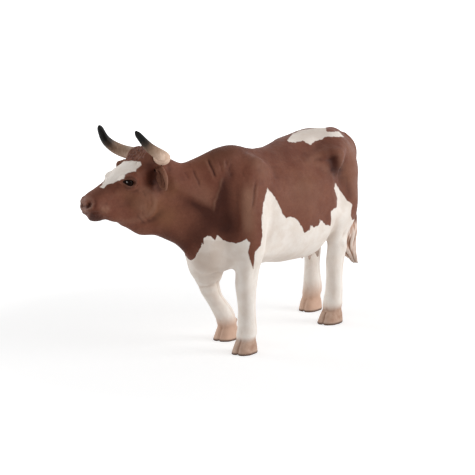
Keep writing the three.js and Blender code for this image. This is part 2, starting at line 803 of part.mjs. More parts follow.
// Ears: leaves that hollow forward. The left one hangs, and the right one is pricked.
const earShares = {
  left: { root: [0.035, 0.3, -0.25], way: [0.46, 0.65, -0.61], face: [1, 0.35, 0.1] },
  right: { root: [0.185, -0.27, -0.385], way: [0.01, -0.944, 0.37], face: [0.45, 0.3, 1] },
};
const earHollowShare = 0.72;
const earSinkShare = 0.42;
const earLipShare = 0.08;
const earLeafShares = [0.4, 0.5, 0.66, 0.86, 0.98, 1, 0.94, 0.78, 0.5, 0.1];
function earFrame(side) {
  const { root, way, face: facing } = side > 0 ? earShares.left : earShares.right;
  const out = new THREE.Vector3(...way).transformDirection(dipped);
  const face = new THREE.Vector3(...facing).transformDirection(dipped);
  const across = new THREE.Vector3().crossVectors(face, out).normalize();
  const front = new THREE.Vector3().crossVectors(out, across).normalize();
  return new THREE.Matrix4().makeBasis(across, front, out).setPosition(onHead(root));
}

function earLeaf(widthShare) {
  const leaf = new THREE.SphereGeometry(1, 12, 10);
  leaf.rotateX(Math.PI / 2);
  const { position } = leaf.attributes;
  for (let i = 0; i < position.count; i++) {
    const t = (position.getZ(i) + 1) / 2;
    const around = Math.hypot(position.getX(i), position.getY(i));
    const spread = between(earLeafShares, t) * (around > 0 ? Math.min(1, around * 4) / around : 0);
    position.setX(i, (position.getX(i) * spread * widthShare * earWidth) / 2);
    position.setY(i, (position.getY(i) * spread * earThickness) / 2);
    position.setZ(i, t * earLength);
  }
  return leaf;
}

const earPeg = (side, grow) =>
  plug((t) => new THREE.Vector3(0, 0, t * earLength).applyMatrix4(earFrame(side)), grow);

function makeEar(side) {
  const frame = earFrame(side);
  const cup = earLeaf(earHollowShare);
  cup.translate(0, earSinkShare * earThickness, earLipShare * earLength);
  return solid(earLeaf(1), frame)
    .subtract(solid(cup, frame))
    .subtract(headClear)
    .add(earPeg(side, 0));
}

// Eyes stand out under the brows; nostrils and the mouth are pressed in.
const eyeShare = [0.485, 0.43, -0.13];
const nostrilShare = [0.96, 0.2, -0.02];
const mouthShares = [
  [1, 0, -0.31],
  [0.92, 0.3, -0.325],
  [0.79, 0.32, -0.35],
  [0.66, 0.3, -0.34],
];
const nostrilDiameter = 1.9;
const mouthDepth = 0.9;
function eye(side) {
  const [x, y, z] = eyeShare;
  const ball = new THREE.SphereGeometry(eyeDiameter / 2, 12, 8);
  return solid(ball, new THREE.Matrix4().setPosition(onHead([x, side * y, z])));
}

function nostril(side) {
  const [x, y, z] = nostrilShare;
  const pit = new THREE.SphereGeometry(nostrilDiameter / 2, 8, 6);
  return solid(pit, new THREE.Matrix4().setPosition(onHead([x, side * y, z])));
}

function mouth(side) {
  const places = mouthShares.map(([x, y, z]) => onHead([x, side * y, z]));
  const line = new THREE.CatmullRomCurve3(places);
  return taperedTube(line, () => [mouthDepth / 2, mouthDepth / 2], 12, 6);
}

function makeHead() {
  let head = skin(figure, headSpace, headMesh).intersect(
    blockBeyond(neckSeat.clone().addScaledVector(neckWay, fitClearance), neckWay),
  );
  for (const side of [1, -1]) {
    head = head
      .add(eye(side))
      .subtract(nostril(side))
      .subtract(mouth(side))
      .subtract(hornPeg(side, fitClearance))
      .subtract(earPeg(side, fitClearance));
  }
  return head.add(neckPeg(0));
}

// The tail hangs from the tailhead and ends in a brush of hair.
const tailShares = [
  [-0.45, 0, 0.87],
  [-0.507, 0.01, 0.9],
  [-0.556, 0.04, 0.85],
  [-0.556, 0.078, 0.72],
  [-0.543, 0.08, 0.56],
  [-0.533, 0.075, 0.42],
  [-0.533, 0.09, 0.31],
  [-0.545, 0.14, 0.23],
];
const tailWaistShares = [1.15, 1, 0.9, 0.86, 0.84, 0.84, 0.9, 1];
const switchWaistShares = [0, 0, 0, 0, 0, 0.55, 0.95, 1.1, 0.95, 0.36];
const switchLocks = 5;
const ropeEndShare = 0.9; // where the rope of the tail is lost in its hair
const tailCurve = new THREE.CatmullRomCurve3(tailShares.map(bodyPlace), false, "centripetal");
const lockShare = 0.14;
function makeTail() {
  const radius = (t, angle) => {
    const rope = (between(tailWaistShares, t) * tailThickness) / 2;
    const brush = (between(switchWaistShares, t) * switchThickness) / 2;
    const lock = 1 + (brush > rope ? lockShare * Math.cos(switchLocks * angle) : 0);
    const r = Math.max(rope * (t > ropeEndShare ? 0 : 1), brush) * lock;
    return [r, r];
  };
  return taperedTube(tailCurve, radius, 26, 10).subtract(trunkClear).add(tailPeg(0));
}

function tailPeg(grow) {
  return plug((t) => tailCurve.getPointAt(Math.max(t, 0) / 2), grow);
}

// The udder: a low round bag with four teats, its top hollowed to the belly.
const udderShare = [-0.305, 0, 0.405];
const udderRadiusShares = [0.72, 0.5, 0.46];
const teatShares = [
  [0.3, 0.26],
  [-0.22, 0.24],
];
const udderPegShare = 0.75;
function makeUdder() {
  const centre = bodyPlace(udderShare);
  const bag = new THREE.SphereGeometry(udderWidth, 14, 8).scale(...udderRadiusShares);
  let udder = solid(bag, new THREE.Matrix4().setPosition(centre));
  for (const [x, y] of teatShares) {
    for (const side of [1, -1]) {
      const depth = udderRadiusShares[2] * udderWidth;
      const place = new THREE.Vector3(x * udderWidth, side * y * udderWidth, -depth).add(centre);
      const teat = new THREE.CapsuleGeometry(teatThickness / 2, teatLength, 2, 8);
      udder = udder.add(solid(teat.rotateX(Math.PI / 2), new THREE.Matrix4().setPosition(place)));
    }
  }
  return udder.subtract(trunkClear).add(udderPeg(0));
}

function udderPeg(grow) {
  const up = new THREE.Vector3(0, 0, 1);
  return peg(smallPegDiameter, udderPegShare * udderWidth, bodyPlace(udderShare), up, grow);
}

// Paints of the moulding
const paint = (colour, roughness) =>
  new THREE.MeshStandardMaterial({ color: colour, roughness, metalness: 0 });
const redBrown = paint("#7a4a3c", 0.55);
const cream = paint("#e8e3d8", 0.5);
const hornCream = paint("#d8b89c", 0.42);
const udderPink = paint("#dcb9a6", 0.5);

// A piece of the cow as a mesh, flat-shaded as it was cut.
function piece(name, made, material) {
  const { numProp, vertProperties, triVerts } = made.getMesh();
  const places = new Float32Array((vertProperties.length / numProp) * 3);
  for (let i = 0; i < places.length; i++)
    places[i] = vertProperties[Math.floor(i / 3) * numProp + (i % 3)];
  const geometry = new THREE.BufferGeometry();
  geometry.setAttribute("position", new THREE.BufferAttribute(places, 3));
  geometry.setIndex(new THREE.BufferAttribute(new Uint32Array(triVerts), 1));
  geometry.computeVertexNormals();
  const mesh = new THREE.Mesh(geometry, material);
  mesh.name = name;
  return mesh;
}

const cow = new THREE.Group();
const headGroup = new THREE.Group();
headGroup.add(piece("head", makeHead(), redBrown));
headGroup.add(piece("left_horn", makeHorn(1), hornCream));
headGroup.add(piece("right_horn", makeHorn(-1), hornCream));
headGroup.add(piece("left_ear", makeEar(1), redBrown));
headGroup.add(piece("right_ear", makeEar(-1), redBrown));
cow.add(headGroup);
cow.add(piece("trunk", makeTrunk(), redBrown));
for (const name of Object.keys(legShares)) cow.add(piece(name, makeLeg(name), cream));
cow.add(piece("tail", makeTail(), redBrown));
cow.add(piece("udder", makeUdder(), udderPink));

// The middle of the cow's box comes over the origin, and its soles stay on the ground.
const middle = new THREE.Box3().setFromObject(cow).getCenter(new THREE.Vector3());
cow.position.set(-middle.x, -middle.y, 0);

export default cow;
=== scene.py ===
# Moulded toy cow: one smooth skin over the trunk, head, legs, tail and udder, with horns, ears and eyes,
# painted red-brown and white. The work is done in millimetres in the figure's own frame, where the point on
# the ground under its back is near the origin, and is written back in metres in the model's frame.
import math

import bpy
import numpy as np
from mathutils import Matrix, Vector
from mathutils.bvhtree import BVHTree


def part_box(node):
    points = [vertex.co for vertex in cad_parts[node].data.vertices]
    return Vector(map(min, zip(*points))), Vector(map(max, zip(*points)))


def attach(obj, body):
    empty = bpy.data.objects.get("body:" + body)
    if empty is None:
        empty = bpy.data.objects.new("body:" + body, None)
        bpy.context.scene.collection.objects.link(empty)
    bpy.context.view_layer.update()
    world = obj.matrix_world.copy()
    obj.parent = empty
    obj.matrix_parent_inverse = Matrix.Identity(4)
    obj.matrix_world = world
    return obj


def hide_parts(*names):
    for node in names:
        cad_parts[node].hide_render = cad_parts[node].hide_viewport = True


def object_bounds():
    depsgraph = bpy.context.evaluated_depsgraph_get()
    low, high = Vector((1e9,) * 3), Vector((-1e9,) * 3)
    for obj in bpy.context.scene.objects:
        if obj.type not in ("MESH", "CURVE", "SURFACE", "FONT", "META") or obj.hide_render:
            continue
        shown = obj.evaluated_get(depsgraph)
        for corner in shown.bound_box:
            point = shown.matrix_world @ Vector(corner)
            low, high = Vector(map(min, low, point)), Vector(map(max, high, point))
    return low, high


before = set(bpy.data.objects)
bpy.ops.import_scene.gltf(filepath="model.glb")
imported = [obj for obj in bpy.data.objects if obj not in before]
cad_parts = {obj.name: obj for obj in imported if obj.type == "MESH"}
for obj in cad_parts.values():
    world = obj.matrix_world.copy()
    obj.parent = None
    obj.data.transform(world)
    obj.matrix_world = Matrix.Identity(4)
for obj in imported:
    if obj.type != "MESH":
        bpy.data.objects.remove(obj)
cad_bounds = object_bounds()

METRE = 0.001  # one millimetre in metres

# The figure's frame, found from the corner of a leg, since the model is centred on its box
foreleg_corner = (39.69, 14.895)
found_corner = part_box("left_foreleg")[1]
ground_shift = np.array(
    [foreleg_corner[0] - found_corner[0] / METRE, foreleg_corner[1] - found_corner[1] / METRE, 0.0]
)

# The camera of the photograph
photo_size = 475
photo_azimuth = 124.5
photo_elevation = 12.0
photo_distance = 1100.0
photo_focus = 2966.0
photo_look = Vector((2.553, -16.388, 33.774))
pixel_size = photo_distance / photo_focus  # a pixel, in millimetres on the figure

# The head's frame: the poll is its origin, x runs down the face and z is up from the forehead
poll = Vector((59.64, -16.625, 75.6))
head_yaw = math.radians(-24)
head_roll = math.radians(4)
head_pitch = math.radians(33)
head_frame = (
    Matrix.Translation(poll)
    @ Matrix.Rotation(head_yaw, 4, "Z")
    @ Matrix.Rotation(head_roll, 4, "X")
    @ Matrix.Rotation(head_pitch, 4, "Y")
)

# The nodes that are fused to one skin: how much each is smoothed, and its material slot
fused = {
    "trunk": (0.75, "coat_brown"),
    "head": (0.3, "coat_brown"),
    "left_foreleg": (0.24, "coat_white"),
    "right_foreleg": (0.24, "coat_white"),
    "left_hind_leg": (0.24, "coat_white"),
    "right_hind_leg": (0.24, "coat_white"),
    "tail": (0.12, "coat_brown"),
    "udder": (0.25, "udder_pink"),
}
fused_nodes = list(fused)
trunk_frame = Matrix.Identity(4)

skin_voxel = 0.39
seam_cover = 0.22
seam_depth = 0.8
settle_turns = 50
settle_reach = 0.8

# The head, in its own frame; tilts are in radians
eye_place = (14.78, 8.0, -2.6)
eye_radius = 2.1
eye_proud = 0.12
eye_tilt = -0.8
eye_half_length = 1.85
eye_half_height = 0.95
# A painted highlight on each eye
eye_glint = (15.7, 8.0, -1.45)
glint_reach = 0.1
glint_edge = 0.03
glint_strength = 0.65
socket_depth = 1.2
socket_reach = 4.5
lid_height = 0.28
lid_reach = 1.38  # as a share of the eye
lid_width = 0.18
nose_start = 26
curl_middle = 1.5
curl_half_length = 7.5
curl_half_width = 6.5
curl_floor = -5
curl_count = 46
curl_height = 0.42
cheek_pixel = (131, 199)
cheek_reach = 4.2
cheek_ease = 0.9
cheek_loose = 0.85
horn_reaches = {"left_horn": 14.6, "right_horn": 20.0}

# The udder, drawn in towards its top, and forward
udder_top = (-24.0, 0.0, 40.0)
udder_shares = (0.85, 0.72, 0.93)
udder_levels = (0.0, -9.0)
teat_share = 0.68
teat_levels = (-7.0, -13.0)
teat_shift = 3.3

# The legs: the middle of each sole, and the heights over which the hoof's colour fades in
legs = {
    "left_foreleg": ((35.03, 8.7), (6.8, 4.2)),
    "right_foreleg": ((21.6, -8.7), (11.0, 4.8)),
    "left_hind_leg": ((-21.2, 8.75), (8.5, 4.6)),
    "right_hind_leg": ((-34.7, -8.75), (12.5, 4.6)),
}
near_legs = ("left_foreleg", "left_hind_leg")
far_legs = ("right_foreleg", "right_hind_leg")
leg_top = 40
cannon_low = 9.0
cannon_high = {"foreleg": 23.0, "hind_leg": 25.0}
hock_height = 29
coronet_height = 5.3
coronet_lean = 0.16
dewclaw_behind = 4.5
dewclaw_height = 6.4
hoof_top = 9.5
hoof_ease = 0.06
coronet_ease = 0.2
sole_edge = 2.5
sole_flat = 0.12
switch_top = 38

# Strokes and paint
stroke_margin = 9  # pixels around a stroke, for each millimetre of its width
ray_start = 0.3
ray_reach = 200
rump_edge = 63
deep = 6.0  # well inside the brown or the white
hair_height = 0.05
sock_inside = 4  # how far the inner sides of the legs count as inside the white


# Geometry of the photograph

def photo_axes():
    a = math.radians(photo_azimuth)
    e = math.radians(photo_elevation)
    back = Vector((math.sin(a) * math.cos(e), -math.cos(a) * math.cos(e), math.sin(e)))
    right = Vector((0, 0, 1)).cross(back).normalized()
    return right, back.cross(right), back


photo_right, photo_up, photo_back = photo_axes()
photo_eye = photo_look + photo_back * photo_distance


def in_photo(places):
    """Places of the figure as pixels of the photograph."""
    offset = places - np.array(photo_look)
    depth = photo_distance - offset @ np.array(photo_back)
    u = photo_size / 2 + photo_focus * (offset @ np.array(photo_right)) / depth
    v = photo_size / 2 - photo_focus * (offset @ np.array(photo_up)) / depth
    return np.stack([u, v], axis=1)


def on_head(x, y, z):
    return head_frame @ Vector((x, y, z))


# Mesh helpers

def select_only(*objects):
    bpy.ops.object.select_all(action="DESELECT")
    for obj in objects:
        obj.select_set(True)
    bpy.context.view_layer.objects.active = objects[0]


def to_mode(mode):
    bpy.ops.object.mode_set(mode=mode)


def edit_all_of(obj):
    select_only(obj)
    to_mode("EDIT")
    bpy.ops.mesh.select_all(action="SELECT")


def add_object(name, data):
    obj = bpy.data.objects.new(name, data)
    bpy.context.collection.objects.link(obj)
    return obj


def read_row(items, name, kind=np.float32, width=1):
    """A value of each item, or a row of values."""
    flat = np.empty(len(items) * width, dtype=kind)
    items.foreach_get(name, flat)
    return flat if width == 1 else flat.reshape(-1, width)


def read_places(obj):
    return read_row(obj.data.vertices, "co", width=3).astype(float) / METRE + ground_shift


def write_places(obj, places):
    obj.data.vertices.foreach_set("co", ((places - ground_shift) * METRE).ravel())
    obj.data.update()


def read_normals(obj):
    return read_row(obj.data.vertex_normals, "vector", width=3).astype(float)


def read_edges(obj):
    return read_row(obj.data.edges, "vertices", np.int32, 2)


def face_corners(mesh):
    """The vertex at each corner of the faces, and where the corners of each face start."""
    corners = read_row(mesh.loops, "vertex_index", np.int32)
    return corners, read_row(mesh.polygons, "loop_start", np.int32)


def write_values(obj, name, values):
    """Writes a value, or one for each vertex, as an attribute."""
    layer = obj.data.attributes.new(name, "FLOAT", "POINT")
    layer.data.foreach_set("value", np.full(len(obj.data.vertices), values, dtype=np.float32))


def cad_copy(node, name):
    """A copy of a CAD node with its doubles merged, at the origin."""
    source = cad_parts[node]
    mesh = source.data.copy()
    mesh.transform(source.matrix_world)
    mesh.materials.clear()
    copy = add_object(name, mesh)
    edit_all_of(copy)
    bpy.ops.mesh.remove_doubles(threshold=0.001 * METRE)
    to_mode("OBJECT")
    return copy


def remesh(obj, voxel):
    select_only(obj)
    modifier = obj.modifiers.new("remesh", "REMESH")
    modifier.mode = "VOXEL"
    modifier.voxel_size = voxel * METRE
    bpy.ops.object.modifier_apply(modifier=modifier.name)


def keep_outer_shell(obj):
    """Drops the shells that closed inside, and keeps the largest."""
    edit_all_of(obj)
    bpy.ops.mesh.separate(type="LOOSE")
    to_mode("OBJECT")
    parts = sorted(bpy.context.selected_objects, key=lambda part: len(part.data.vertices))
    outer = parts.pop()
    for part in parts:
        bpy.data.objects.remove(part)
    return outer


def ease(values, edges, weight, turns):
    """Draws each vertex's value towards the mean of its neighbours."""
    a, b = edges[:, 0], edges[:, 1]
    count = len(values)
    near = np.bincount(a, minlength=count) + np.bincount(b, minlength=count)
    columns = values.reshape(count, -1)
    for _ in range(turns):
        sums = [np.bincount(a, c[b], count) + np.bincount(b, c[a], count) for c in columns.T]
        total = np.stack(sums, axis=1)
        columns = columns + np.reshape(weight, (-1, 1)) * (total / near[:, None] - columns)
    return columns.reshape(values.shape)


def tree_of_skin(places):
    return BVHTree.FromPolygons(places.tolist(), [p.vertices[:] for p in skin.data.polygons])


def tree_of(nodes):
    """The CAD nodes' faces, to find the nearest place on them in the figure's frame."""
    corners = []
    faces = []
    for node in nodes:
        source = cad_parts[node]
        mesh = source.data
        mesh.calc_loop_triangles()
        start = len(corners)
        matrix = source.matrix_world
        corners += [matrix @ v.co / METRE + Vector(ground_shift) for v in mesh.vertices]
        faces += [[start + n for n in t.vertices] for t in mesh.loop_triangles]
    return BVHTree.FromPolygons(corners, faces)


def smooth_step(low, high, x):
    t = np.clip((x - low) / (high - low), 0, 1)
    return t * t * (3 - 2 * t)


def bell(x, width):
    return np.exp(-((x / width) ** 2))


# The fused skin

def draw_in_udder(copy):
    """Draws the udder in under the belly, and its teats together."""
    offset = read_places(copy) - udder_top
    shares = np.tile(udder_shares, (len(offset), 1))
    shares[:, 1] *= 1 - (1 - teat_share) * smooth_step(*teat_levels, offset[:, 2])
    forward = teat_shift * smooth_step(*udder_levels, offset[:, 2])[:, None] * (1, 0, 0)
    write_places(copy, udder_top + offset * shares + forward)


def make_skin():
    copies = [cad_copy(node, node + "_copy") for node in fused_nodes]
    draw_in_udder(copies[fused_nodes.index("udder")])
    for copy in copies:
        write_places(copy, read_places(copy) + read_normals(copy) * seam_cover)
    select_only(*copies)
    bpy.ops.object.join()
    skin = copies[0]
    skin.name = "cow_skin"
    remesh(skin, skin_voxel)
    return keep_outer_shell(skin)


def node_distances(places):
    """How far each vertex lies from each of the fused CAD nodes."""
    table = np.empty((len(places), len(fused_nodes)))
    for k, node in enumerate(fused_nodes):
        tree = tree_of([node])
        table[:, k] = [tree.find_nearest(p)[3] for p in places]
    return table


def settle(obj, edges, weight, turns, nodes, loose=0.0):
    """Smooths a piece, then brings it back onto the CAD surface as a whole, but for its loose part."""
    places = ease(read_places(obj), edges, weight, turns)
    write_places(obj, places)
    normals = read_normals(obj)
    tree = tree_of(nodes)
    nearest = np.array([tree.find_nearest(place)[0] for place in places])
    gap = np.clip(np.sum((places - nearest) * normals, axis=1), -settle_reach, settle_reach)
    gap = ease((1 - loose) * gap, edges, 0.6, 40)
    write_places(obj, places - normals * gap[:, None])


def in_head_frame(places):
    return (places - np.array(poll)) @ np.array(head_frame.to_3x3())


def mirrored_over(matrix, vectors, point=1.0):
    """Vectors or places mirrored over the x-z plane of a frame."""
    flip = np.array(matrix @ Matrix.Scale(-1, 4, Vector((0, 1, 0))) @ matrix.inverted())
    return vectors @ flip[:3, :3].T + point * flip[:3, 3]


def owned_by(name):
    return owner == fused_nodes.index(name)


def cheek_share(places):
    """1 at the middle of each cheek, where the skin is smoothed most."""
    share = np.zeros(len(places))
    for spots in (places, mirrored_over(head_frame, places)):
        gap = np.hypot(*(in_photo(spots) - cheek_pixel).T) * pixel_size
        share = np.maximum(share, bell(gap, cheek_reach))
    return share * owned_by("head")


def on_poll(x, y, z):
    """Which places, in the head's frame, the curls of the poll and the forehead cover."""
    return (np.abs(x - curl_middle) < curl_half_length) & (np.abs(y) < curl_half_width) & (z > curl_floor)


def refine_face():
    """Splits the faces around the eyes, the nose and the curls, where the detail is finest."""
    x, y, z = in_head_frame(read_places(skin)).T
    eye_x, eye_y, eye_z = eye_place
    fine = (np.abs(x - eye_x) < 4) & (np.abs(z - eye_z) < 3.5) & (np.abs(y) > eye_y - 3)
    fine |= (x > nose_start) | on_poll(x, y, z)
    fine &= owned_by("head")
    select_only(skin)
    to_mode("EDIT")
    bpy.ops.mesh.select_mode(type="VERT")
    to_mode("OBJECT")
    mesh = skin.data
    mesh.vertices.foreach_set("select", fine)
    mesh.edges.foreach_set("select", fine[edges].all(axis=1))
    corners, starts = face_corners(mesh)
    mesh.polygons.foreach_set("select", np.logical_and.reduceat(fine[corners], starts))
    to_mode("EDIT")
    bpy.ops.mesh.subdivide(number_cuts=1, smoothness=0)
    to_mode("OBJECT")


skin = make_skin()
edges = read_edges(skin)
owner = node_distances(read_places(skin)).argmin(axis=1)
heights = read_places(skin)[:, 2]
shares = np.array([share for share, _ in fused.values()])[owner]
shares = np.where(heights < hoof_top, np.where(heights < sole_edge, hoof_ease, coronet_ease), shares)
cheeks = cheek_share(read_places(skin))
loose = np.maximum(cheek_loose * cheeks, owned_by("udder"))
shares = np.maximum(ease(shares, edges, 0.8, 6), cheek_ease * cheeks)
settle(skin, edges, shares, settle_turns, fused_nodes, loose)
refine_face()
edges = read_edges(skin)
added = read_places(skin)[len(owner) :]
owner = np.concatenate([owner, node_distances(added).argmin(axis=1)])


# Modelling of the hide: strokes are drawn on the photograph, each a width and a height in millimetres and
# the pixels of a line

neck_strokes = [
    # wrinkles high on the neck
    (0.55, -0.42, 208, 159, 210, 164.5, 213, 170, 215.5, 177),
    (0.9, 0.12, 206, 161, 208, 166, 210.5, 171),
    (0.5, -0.2, 193, 169, 195.5, 176, 198.5, 181, 199.5, 186),
    (0.5, -0.1, 187.5, 162, 190, 166),
    (0.5, -0.14, 184, 172, 187, 175, 188.5, 179),
    (0.5, -0.2, 219, 161, 221, 167, 222, 172),
    (0.6, -0.22, 226, 160, 228.5, 167, 228, 173),
    (0.9, -0.25, 231.5, 161.5, 230.5, 169, 232, 177),
    # the ridge along the neck and the hollow under it
    (2.2, 0.4, 170, 181, 180, 188.5, 195, 195.5, 208, 204),
    (2.8, -0.35, 174, 194, 190, 202, 203, 212, 212, 222),
    (0.55, 0.28, 222, 178, 220.5, 185, 221.3, 188.5, 217.5, 194),
    (0.55, 0.32, 217.5, 195, 217.8, 198.5, 214.3, 202, 214.4, 207, 213.4, 213),
    (0.4, 0.14, 223.6, 160, 224.6, 168),
    (0.4, 0.16, 229, 163, 227.6, 172),
    (1.2, -0.3, 225, 184, 222, 194, 219, 205, 217, 216),
]
body_strokes = [
    # the groove before the shoulder, and the edge of the shoulder and upper arm
    (3.4, -0.5, 232, 172, 227, 186, 225, 200, 228, 216, 233, 234),
    (1.2, -0.1, 238, 186, 238, 208, 239, 232),
    (1.5, 0.35, 243.5, 184, 243, 200, 243, 218, 244, 236),
    (1.8, 0.25, 246, 152, 254, 159, 262, 167),
    (2, 0.2, 262, 168, 266, 178, 266, 190),
    (0.55, -0.24, 256, 181, 254.5, 190, 254.2, 198, 252, 209),
    (0.8, 0.12, 257.5, 185, 256.5, 194, 254.5, 202),
    (0.7, -0.12, 242, 172, 246, 178, 247, 184),
    # the hook bone with its ridge, and the pocket of the flank
    (1.7, 0.4, 303, 163, 312, 156.5, 322, 153.5, 331, 151.5),
    (1, -0.1, 318, 160.5, 327, 158.5, 335, 156),
    (1.4, 0.35, 314, 164, 322, 164.5, 327, 168, 330, 174),
    (2, -1.1, 332, 156, 334, 164, 335, 173),
    (0.8, 0.25, 330, 173, 333.5, 179, 334, 184),
    (1.7, 0.2, 341, 158, 342, 168, 344, 178),
    (0.8, -0.12, 347.5, 176, 347.5, 186, 349, 194),
    (1.8, -0.18, 275, 164, 276, 172, 277, 180),
    # the edge of the brisket over the far leg
    (1, -0.6, 197, 287.5, 207, 287.5, 216, 285.5, 221, 279),
    (1.5, 0.5, 199, 281.5, 207, 281.5, 214, 279, 220, 273),
    # fold between the belly and the thigh
    (1.3, -0.25, 337.5, 216, 335, 228, 331, 238, 324, 246),
]
face_strokes = [
    # brow and lids
    (0.8, 0.45, 119.5, 181, 124, 177.6, 129.5, 176.8, 135, 179, 139, 183.5),
    (0.6, 0.3, 123, 186.5, 128, 188.6, 133.5, 188.8, 138, 187),
    (0.8, -0.15, 122, 174.8, 128, 173.2, 135, 174.4, 141, 178.5),
    (0.9, -0.12, 119, 186.5, 115.5, 189.5, 112, 193),
    # hollow of the temple, cheek and edge of the jaw
    (2.6, -0.6, 149, 163, 151, 174, 154, 186),
    (1.4, 0.25, 139, 186, 146, 189, 152, 191),
    (1.2, 0.35, 153, 193, 156, 201, 154.5, 210, 149, 217, 138, 220.5, 124, 222),
    (2, -0.25, 158, 192, 160.5, 201, 159.5, 210, 156, 217),
    (2.2, 0.35, 144, 216, 141, 218.5),
    (0.5, -0.14, 142, 190, 144.5, 193.5, 145.5, 197),
    (0.5, -0.12, 146.5, 201, 148, 205, 146.5, 209),
    (0.45, -0.12, 150.5, 197, 152, 203, 151, 208),
    (0.45, -0.1, 142, 207, 143.5, 211, 142, 214),
    (2, -0.2, 118, 196, 110, 201, 104, 206),
    (1.4, 0.2, 121, 192, 113, 197, 107, 201),
    # nostril with its rim, lips, and the closed corner of the mouth
    (0.7, -1.2, 85.3, 206.8, 87.5, 206.8, 89.6, 205, 90.4, 202.8),
    (0.8, 0.35, 82, 203.5, 84, 199.5, 88, 198.3, 91.5, 199.6),
    (0.6, 0.35, 86.5, 209.4, 91, 208, 92.8, 203.5, 91.8, 200.4),
    (0.5, -0.3, 84, 214.2, 88, 213.4, 94, 213, 100, 212.6),
    (0.8, -0.15, 95, 217, 101, 216, 105, 211.5),
    (1.2, 0.45, 100, 208.5, 105, 210.5, 109, 206.5),
    (0.6, -0.25, 94.6, 199, 95.6, 203, 94.2, 208),
]


def to_segment(points, start, end):
    """How far points lie from a segment, and at which share of its length."""
    way = end - start
    t = np.clip(((points - start) @ way) / max(way @ way, 1e-9), 0, 1)
    return np.hypot(*(points - start - t[:, None] * way).T), t


def line_distance(points, ring):
    """How far points lie from a line of pixels, in millimetres, and how far along it, from 0 to 1."""
    lengths = np.hypot(*np.diff(ring, axis=0).T)
    run = np.concatenate([[0], np.cumsum(lengths)])
    nearest = np.full(len(points), np.inf)
    share = np.zeros(len(points))
    for n, length in enumerate(lengths):
        gap, t = to_segment(points, ring[n], ring[n + 1])
        closer = gap < nearest
        nearest = np.where(closer, gap, nearest)
        share = np.where(closer, (run[n] + t * length) / run[-1], share)
    return nearest * pixel_size, share


def stroke_heights(pixels, reach, strokes):
    """The height that strokes give each vertex; reach is how fully each one takes part."""
    heights = np.zeros(len(pixels))
    for width, height, *line in strokes:
        ring = np.reshape(line, (-1, 2))
        margin = stroke_margin * width
        within = (pixels > ring.min(axis=0) - margin) & (pixels < ring.max(axis=0) + margin)
        taking = np.flatnonzero((reach > 0) & within.all(axis=1))
        gap, share = line_distance(pixels[taking], ring)
        ends = smooth_step(-0.15, 0.2, share) * smooth_step(1.15, 0.8, share)
        heights[taking] += height * bell(gap, width) * ends * reach[taking]
    return heights


def facing(normals, low=0.05, high=0.3):
    """How fully places face the camera of the photograph."""
    return smooth_step(low, high, normals @ np.array(photo_back))


def far_half_of_head(in_head):
    return smooth_step(-0.6, -2.0, in_head[:, 1])


def seen_from_photo(places, normals):
    """Which vertices the camera of the photograph sees, eased at the edges."""
    tree = tree_of_skin(places)
    seen = np.zeros(len(places))
    for n in np.flatnonzero(normals @ np.array(photo_back) > 0):
        start = Vector(places[n]) + Vector(normals[n]) * ray_start
        seen[n] = tree.ray_cast(start, photo_back, ray_reach)[0] is None
    return ease(seen, edges, 0.7, 4)


def mark(*names):
    """1 on the vertices that belong to these nodes, eased over the seams."""
    belongs = np.isin(owner, [fused_nodes.index(name) for name in names]).astype(float)
    return ease(belongs, edges, 0.7, 8)


def far_side(places, normals, frame_matrix):
    """The pixels of places mirrored over a frame, and how fully they face the camera there."""
    pixels = in_photo(mirrored_over(frame_matrix, places))
    return pixels, facing(mirrored_over(frame_matrix, normals, 0))


# Small corrections of the outline: a pixel, a reach in millimetres, a shift to the right and one up as the
# camera sees it, and the nodes that it takes
nudges = [
    (80, 206, 2, 0.65, 0.1, "head"),
    (88, 194.5, 2.5, -0.1, 0.2, "head"),
    (86.5, 216.5, 1.5, 0.3, 0.25, "head"),
    (80.5, 200.5, 1.2, -0.25, 0, "head"),
    (82, 196, 1.2, 0.3, -0.3, "head"),
    (83.5, 213, 2.6, -0.45, -0.2, "head"),
    (90, 219.5, 1.6, -0.3, -0.35, "head"),
    (101, 221, 3, 0, 0.3, "head"),
    (105, 220, 1.6, 0, 0.4, "head"),
    (117, 222, 3, 0, -0.5, "head"),
    (128, 228, 4, -0.1, -0.35, "head"),
    (150, 235, 4, 0, -0.35, "head"),
    (180, 162, 3.5, 0, -0.3, "head", "trunk"),
    (225, 146, 5, 0, 0.4, "head", "trunk"),
    (278, 141, 4, 0, 0.6, "trunk"),
    (332, 128, 2.6, 0, 0.6, "trunk", "tail"),
    (347, 134, 2.4, -0.35, -0.35, "trunk", "tail"),
    (355, 149, 3, 0.35, 0, "trunk", "tail"),
    (359, 181, 5, -0.45, 0, "trunk", "tail"),
    (196, 278, 3.5, 0.4, 0, "trunk", "right_foreleg"),
    (222, 292, 3.5, -0.6, 0, "right_foreleg"),
    (226, 269, 2.6, 0, -1.6, "trunk", "right_foreleg", "left_foreleg"),
    (256, 285, 8, -0.35, 0, "left_foreleg"),
    (224, 275, 1.8, 0.3, -0.9, "trunk", "right_foreleg"),
    (327, 258, 5, -0.9, 0, "left_hind_leg"),
    (322, 285, 4, 0.5, 0, "right_hind_leg"),
    (342, 290, 10, 1, 0, "left_hind_leg"),
    (299, 310, 2.6, 0.5, 0, "right_hind_leg"),
    (351, 235, 3.2, -1.3, 0, "left_hind_leg", "trunk"),
    (352, 263, 3.5, 0, 1.1, "tail"),
    (347, 244, 3.4, -2.2, 0, "tail"),
    (359, 246, 3, 0.5, 0, "tail"),
]


def nudged(places):
    pixels = in_photo(places)
    shifted = places.copy()
    for u, v, reach, to_right, upwards, *nodes in nudges:
        gap = np.hypot(pixels[:, 0] - u, pixels[:, 1] - v) * pixel_size
        share = bell(gap, reach) * mark(*nodes)
        shifted += share[:, None] * np.array(photo_right * to_right + photo_up * upwards)
    return shifted


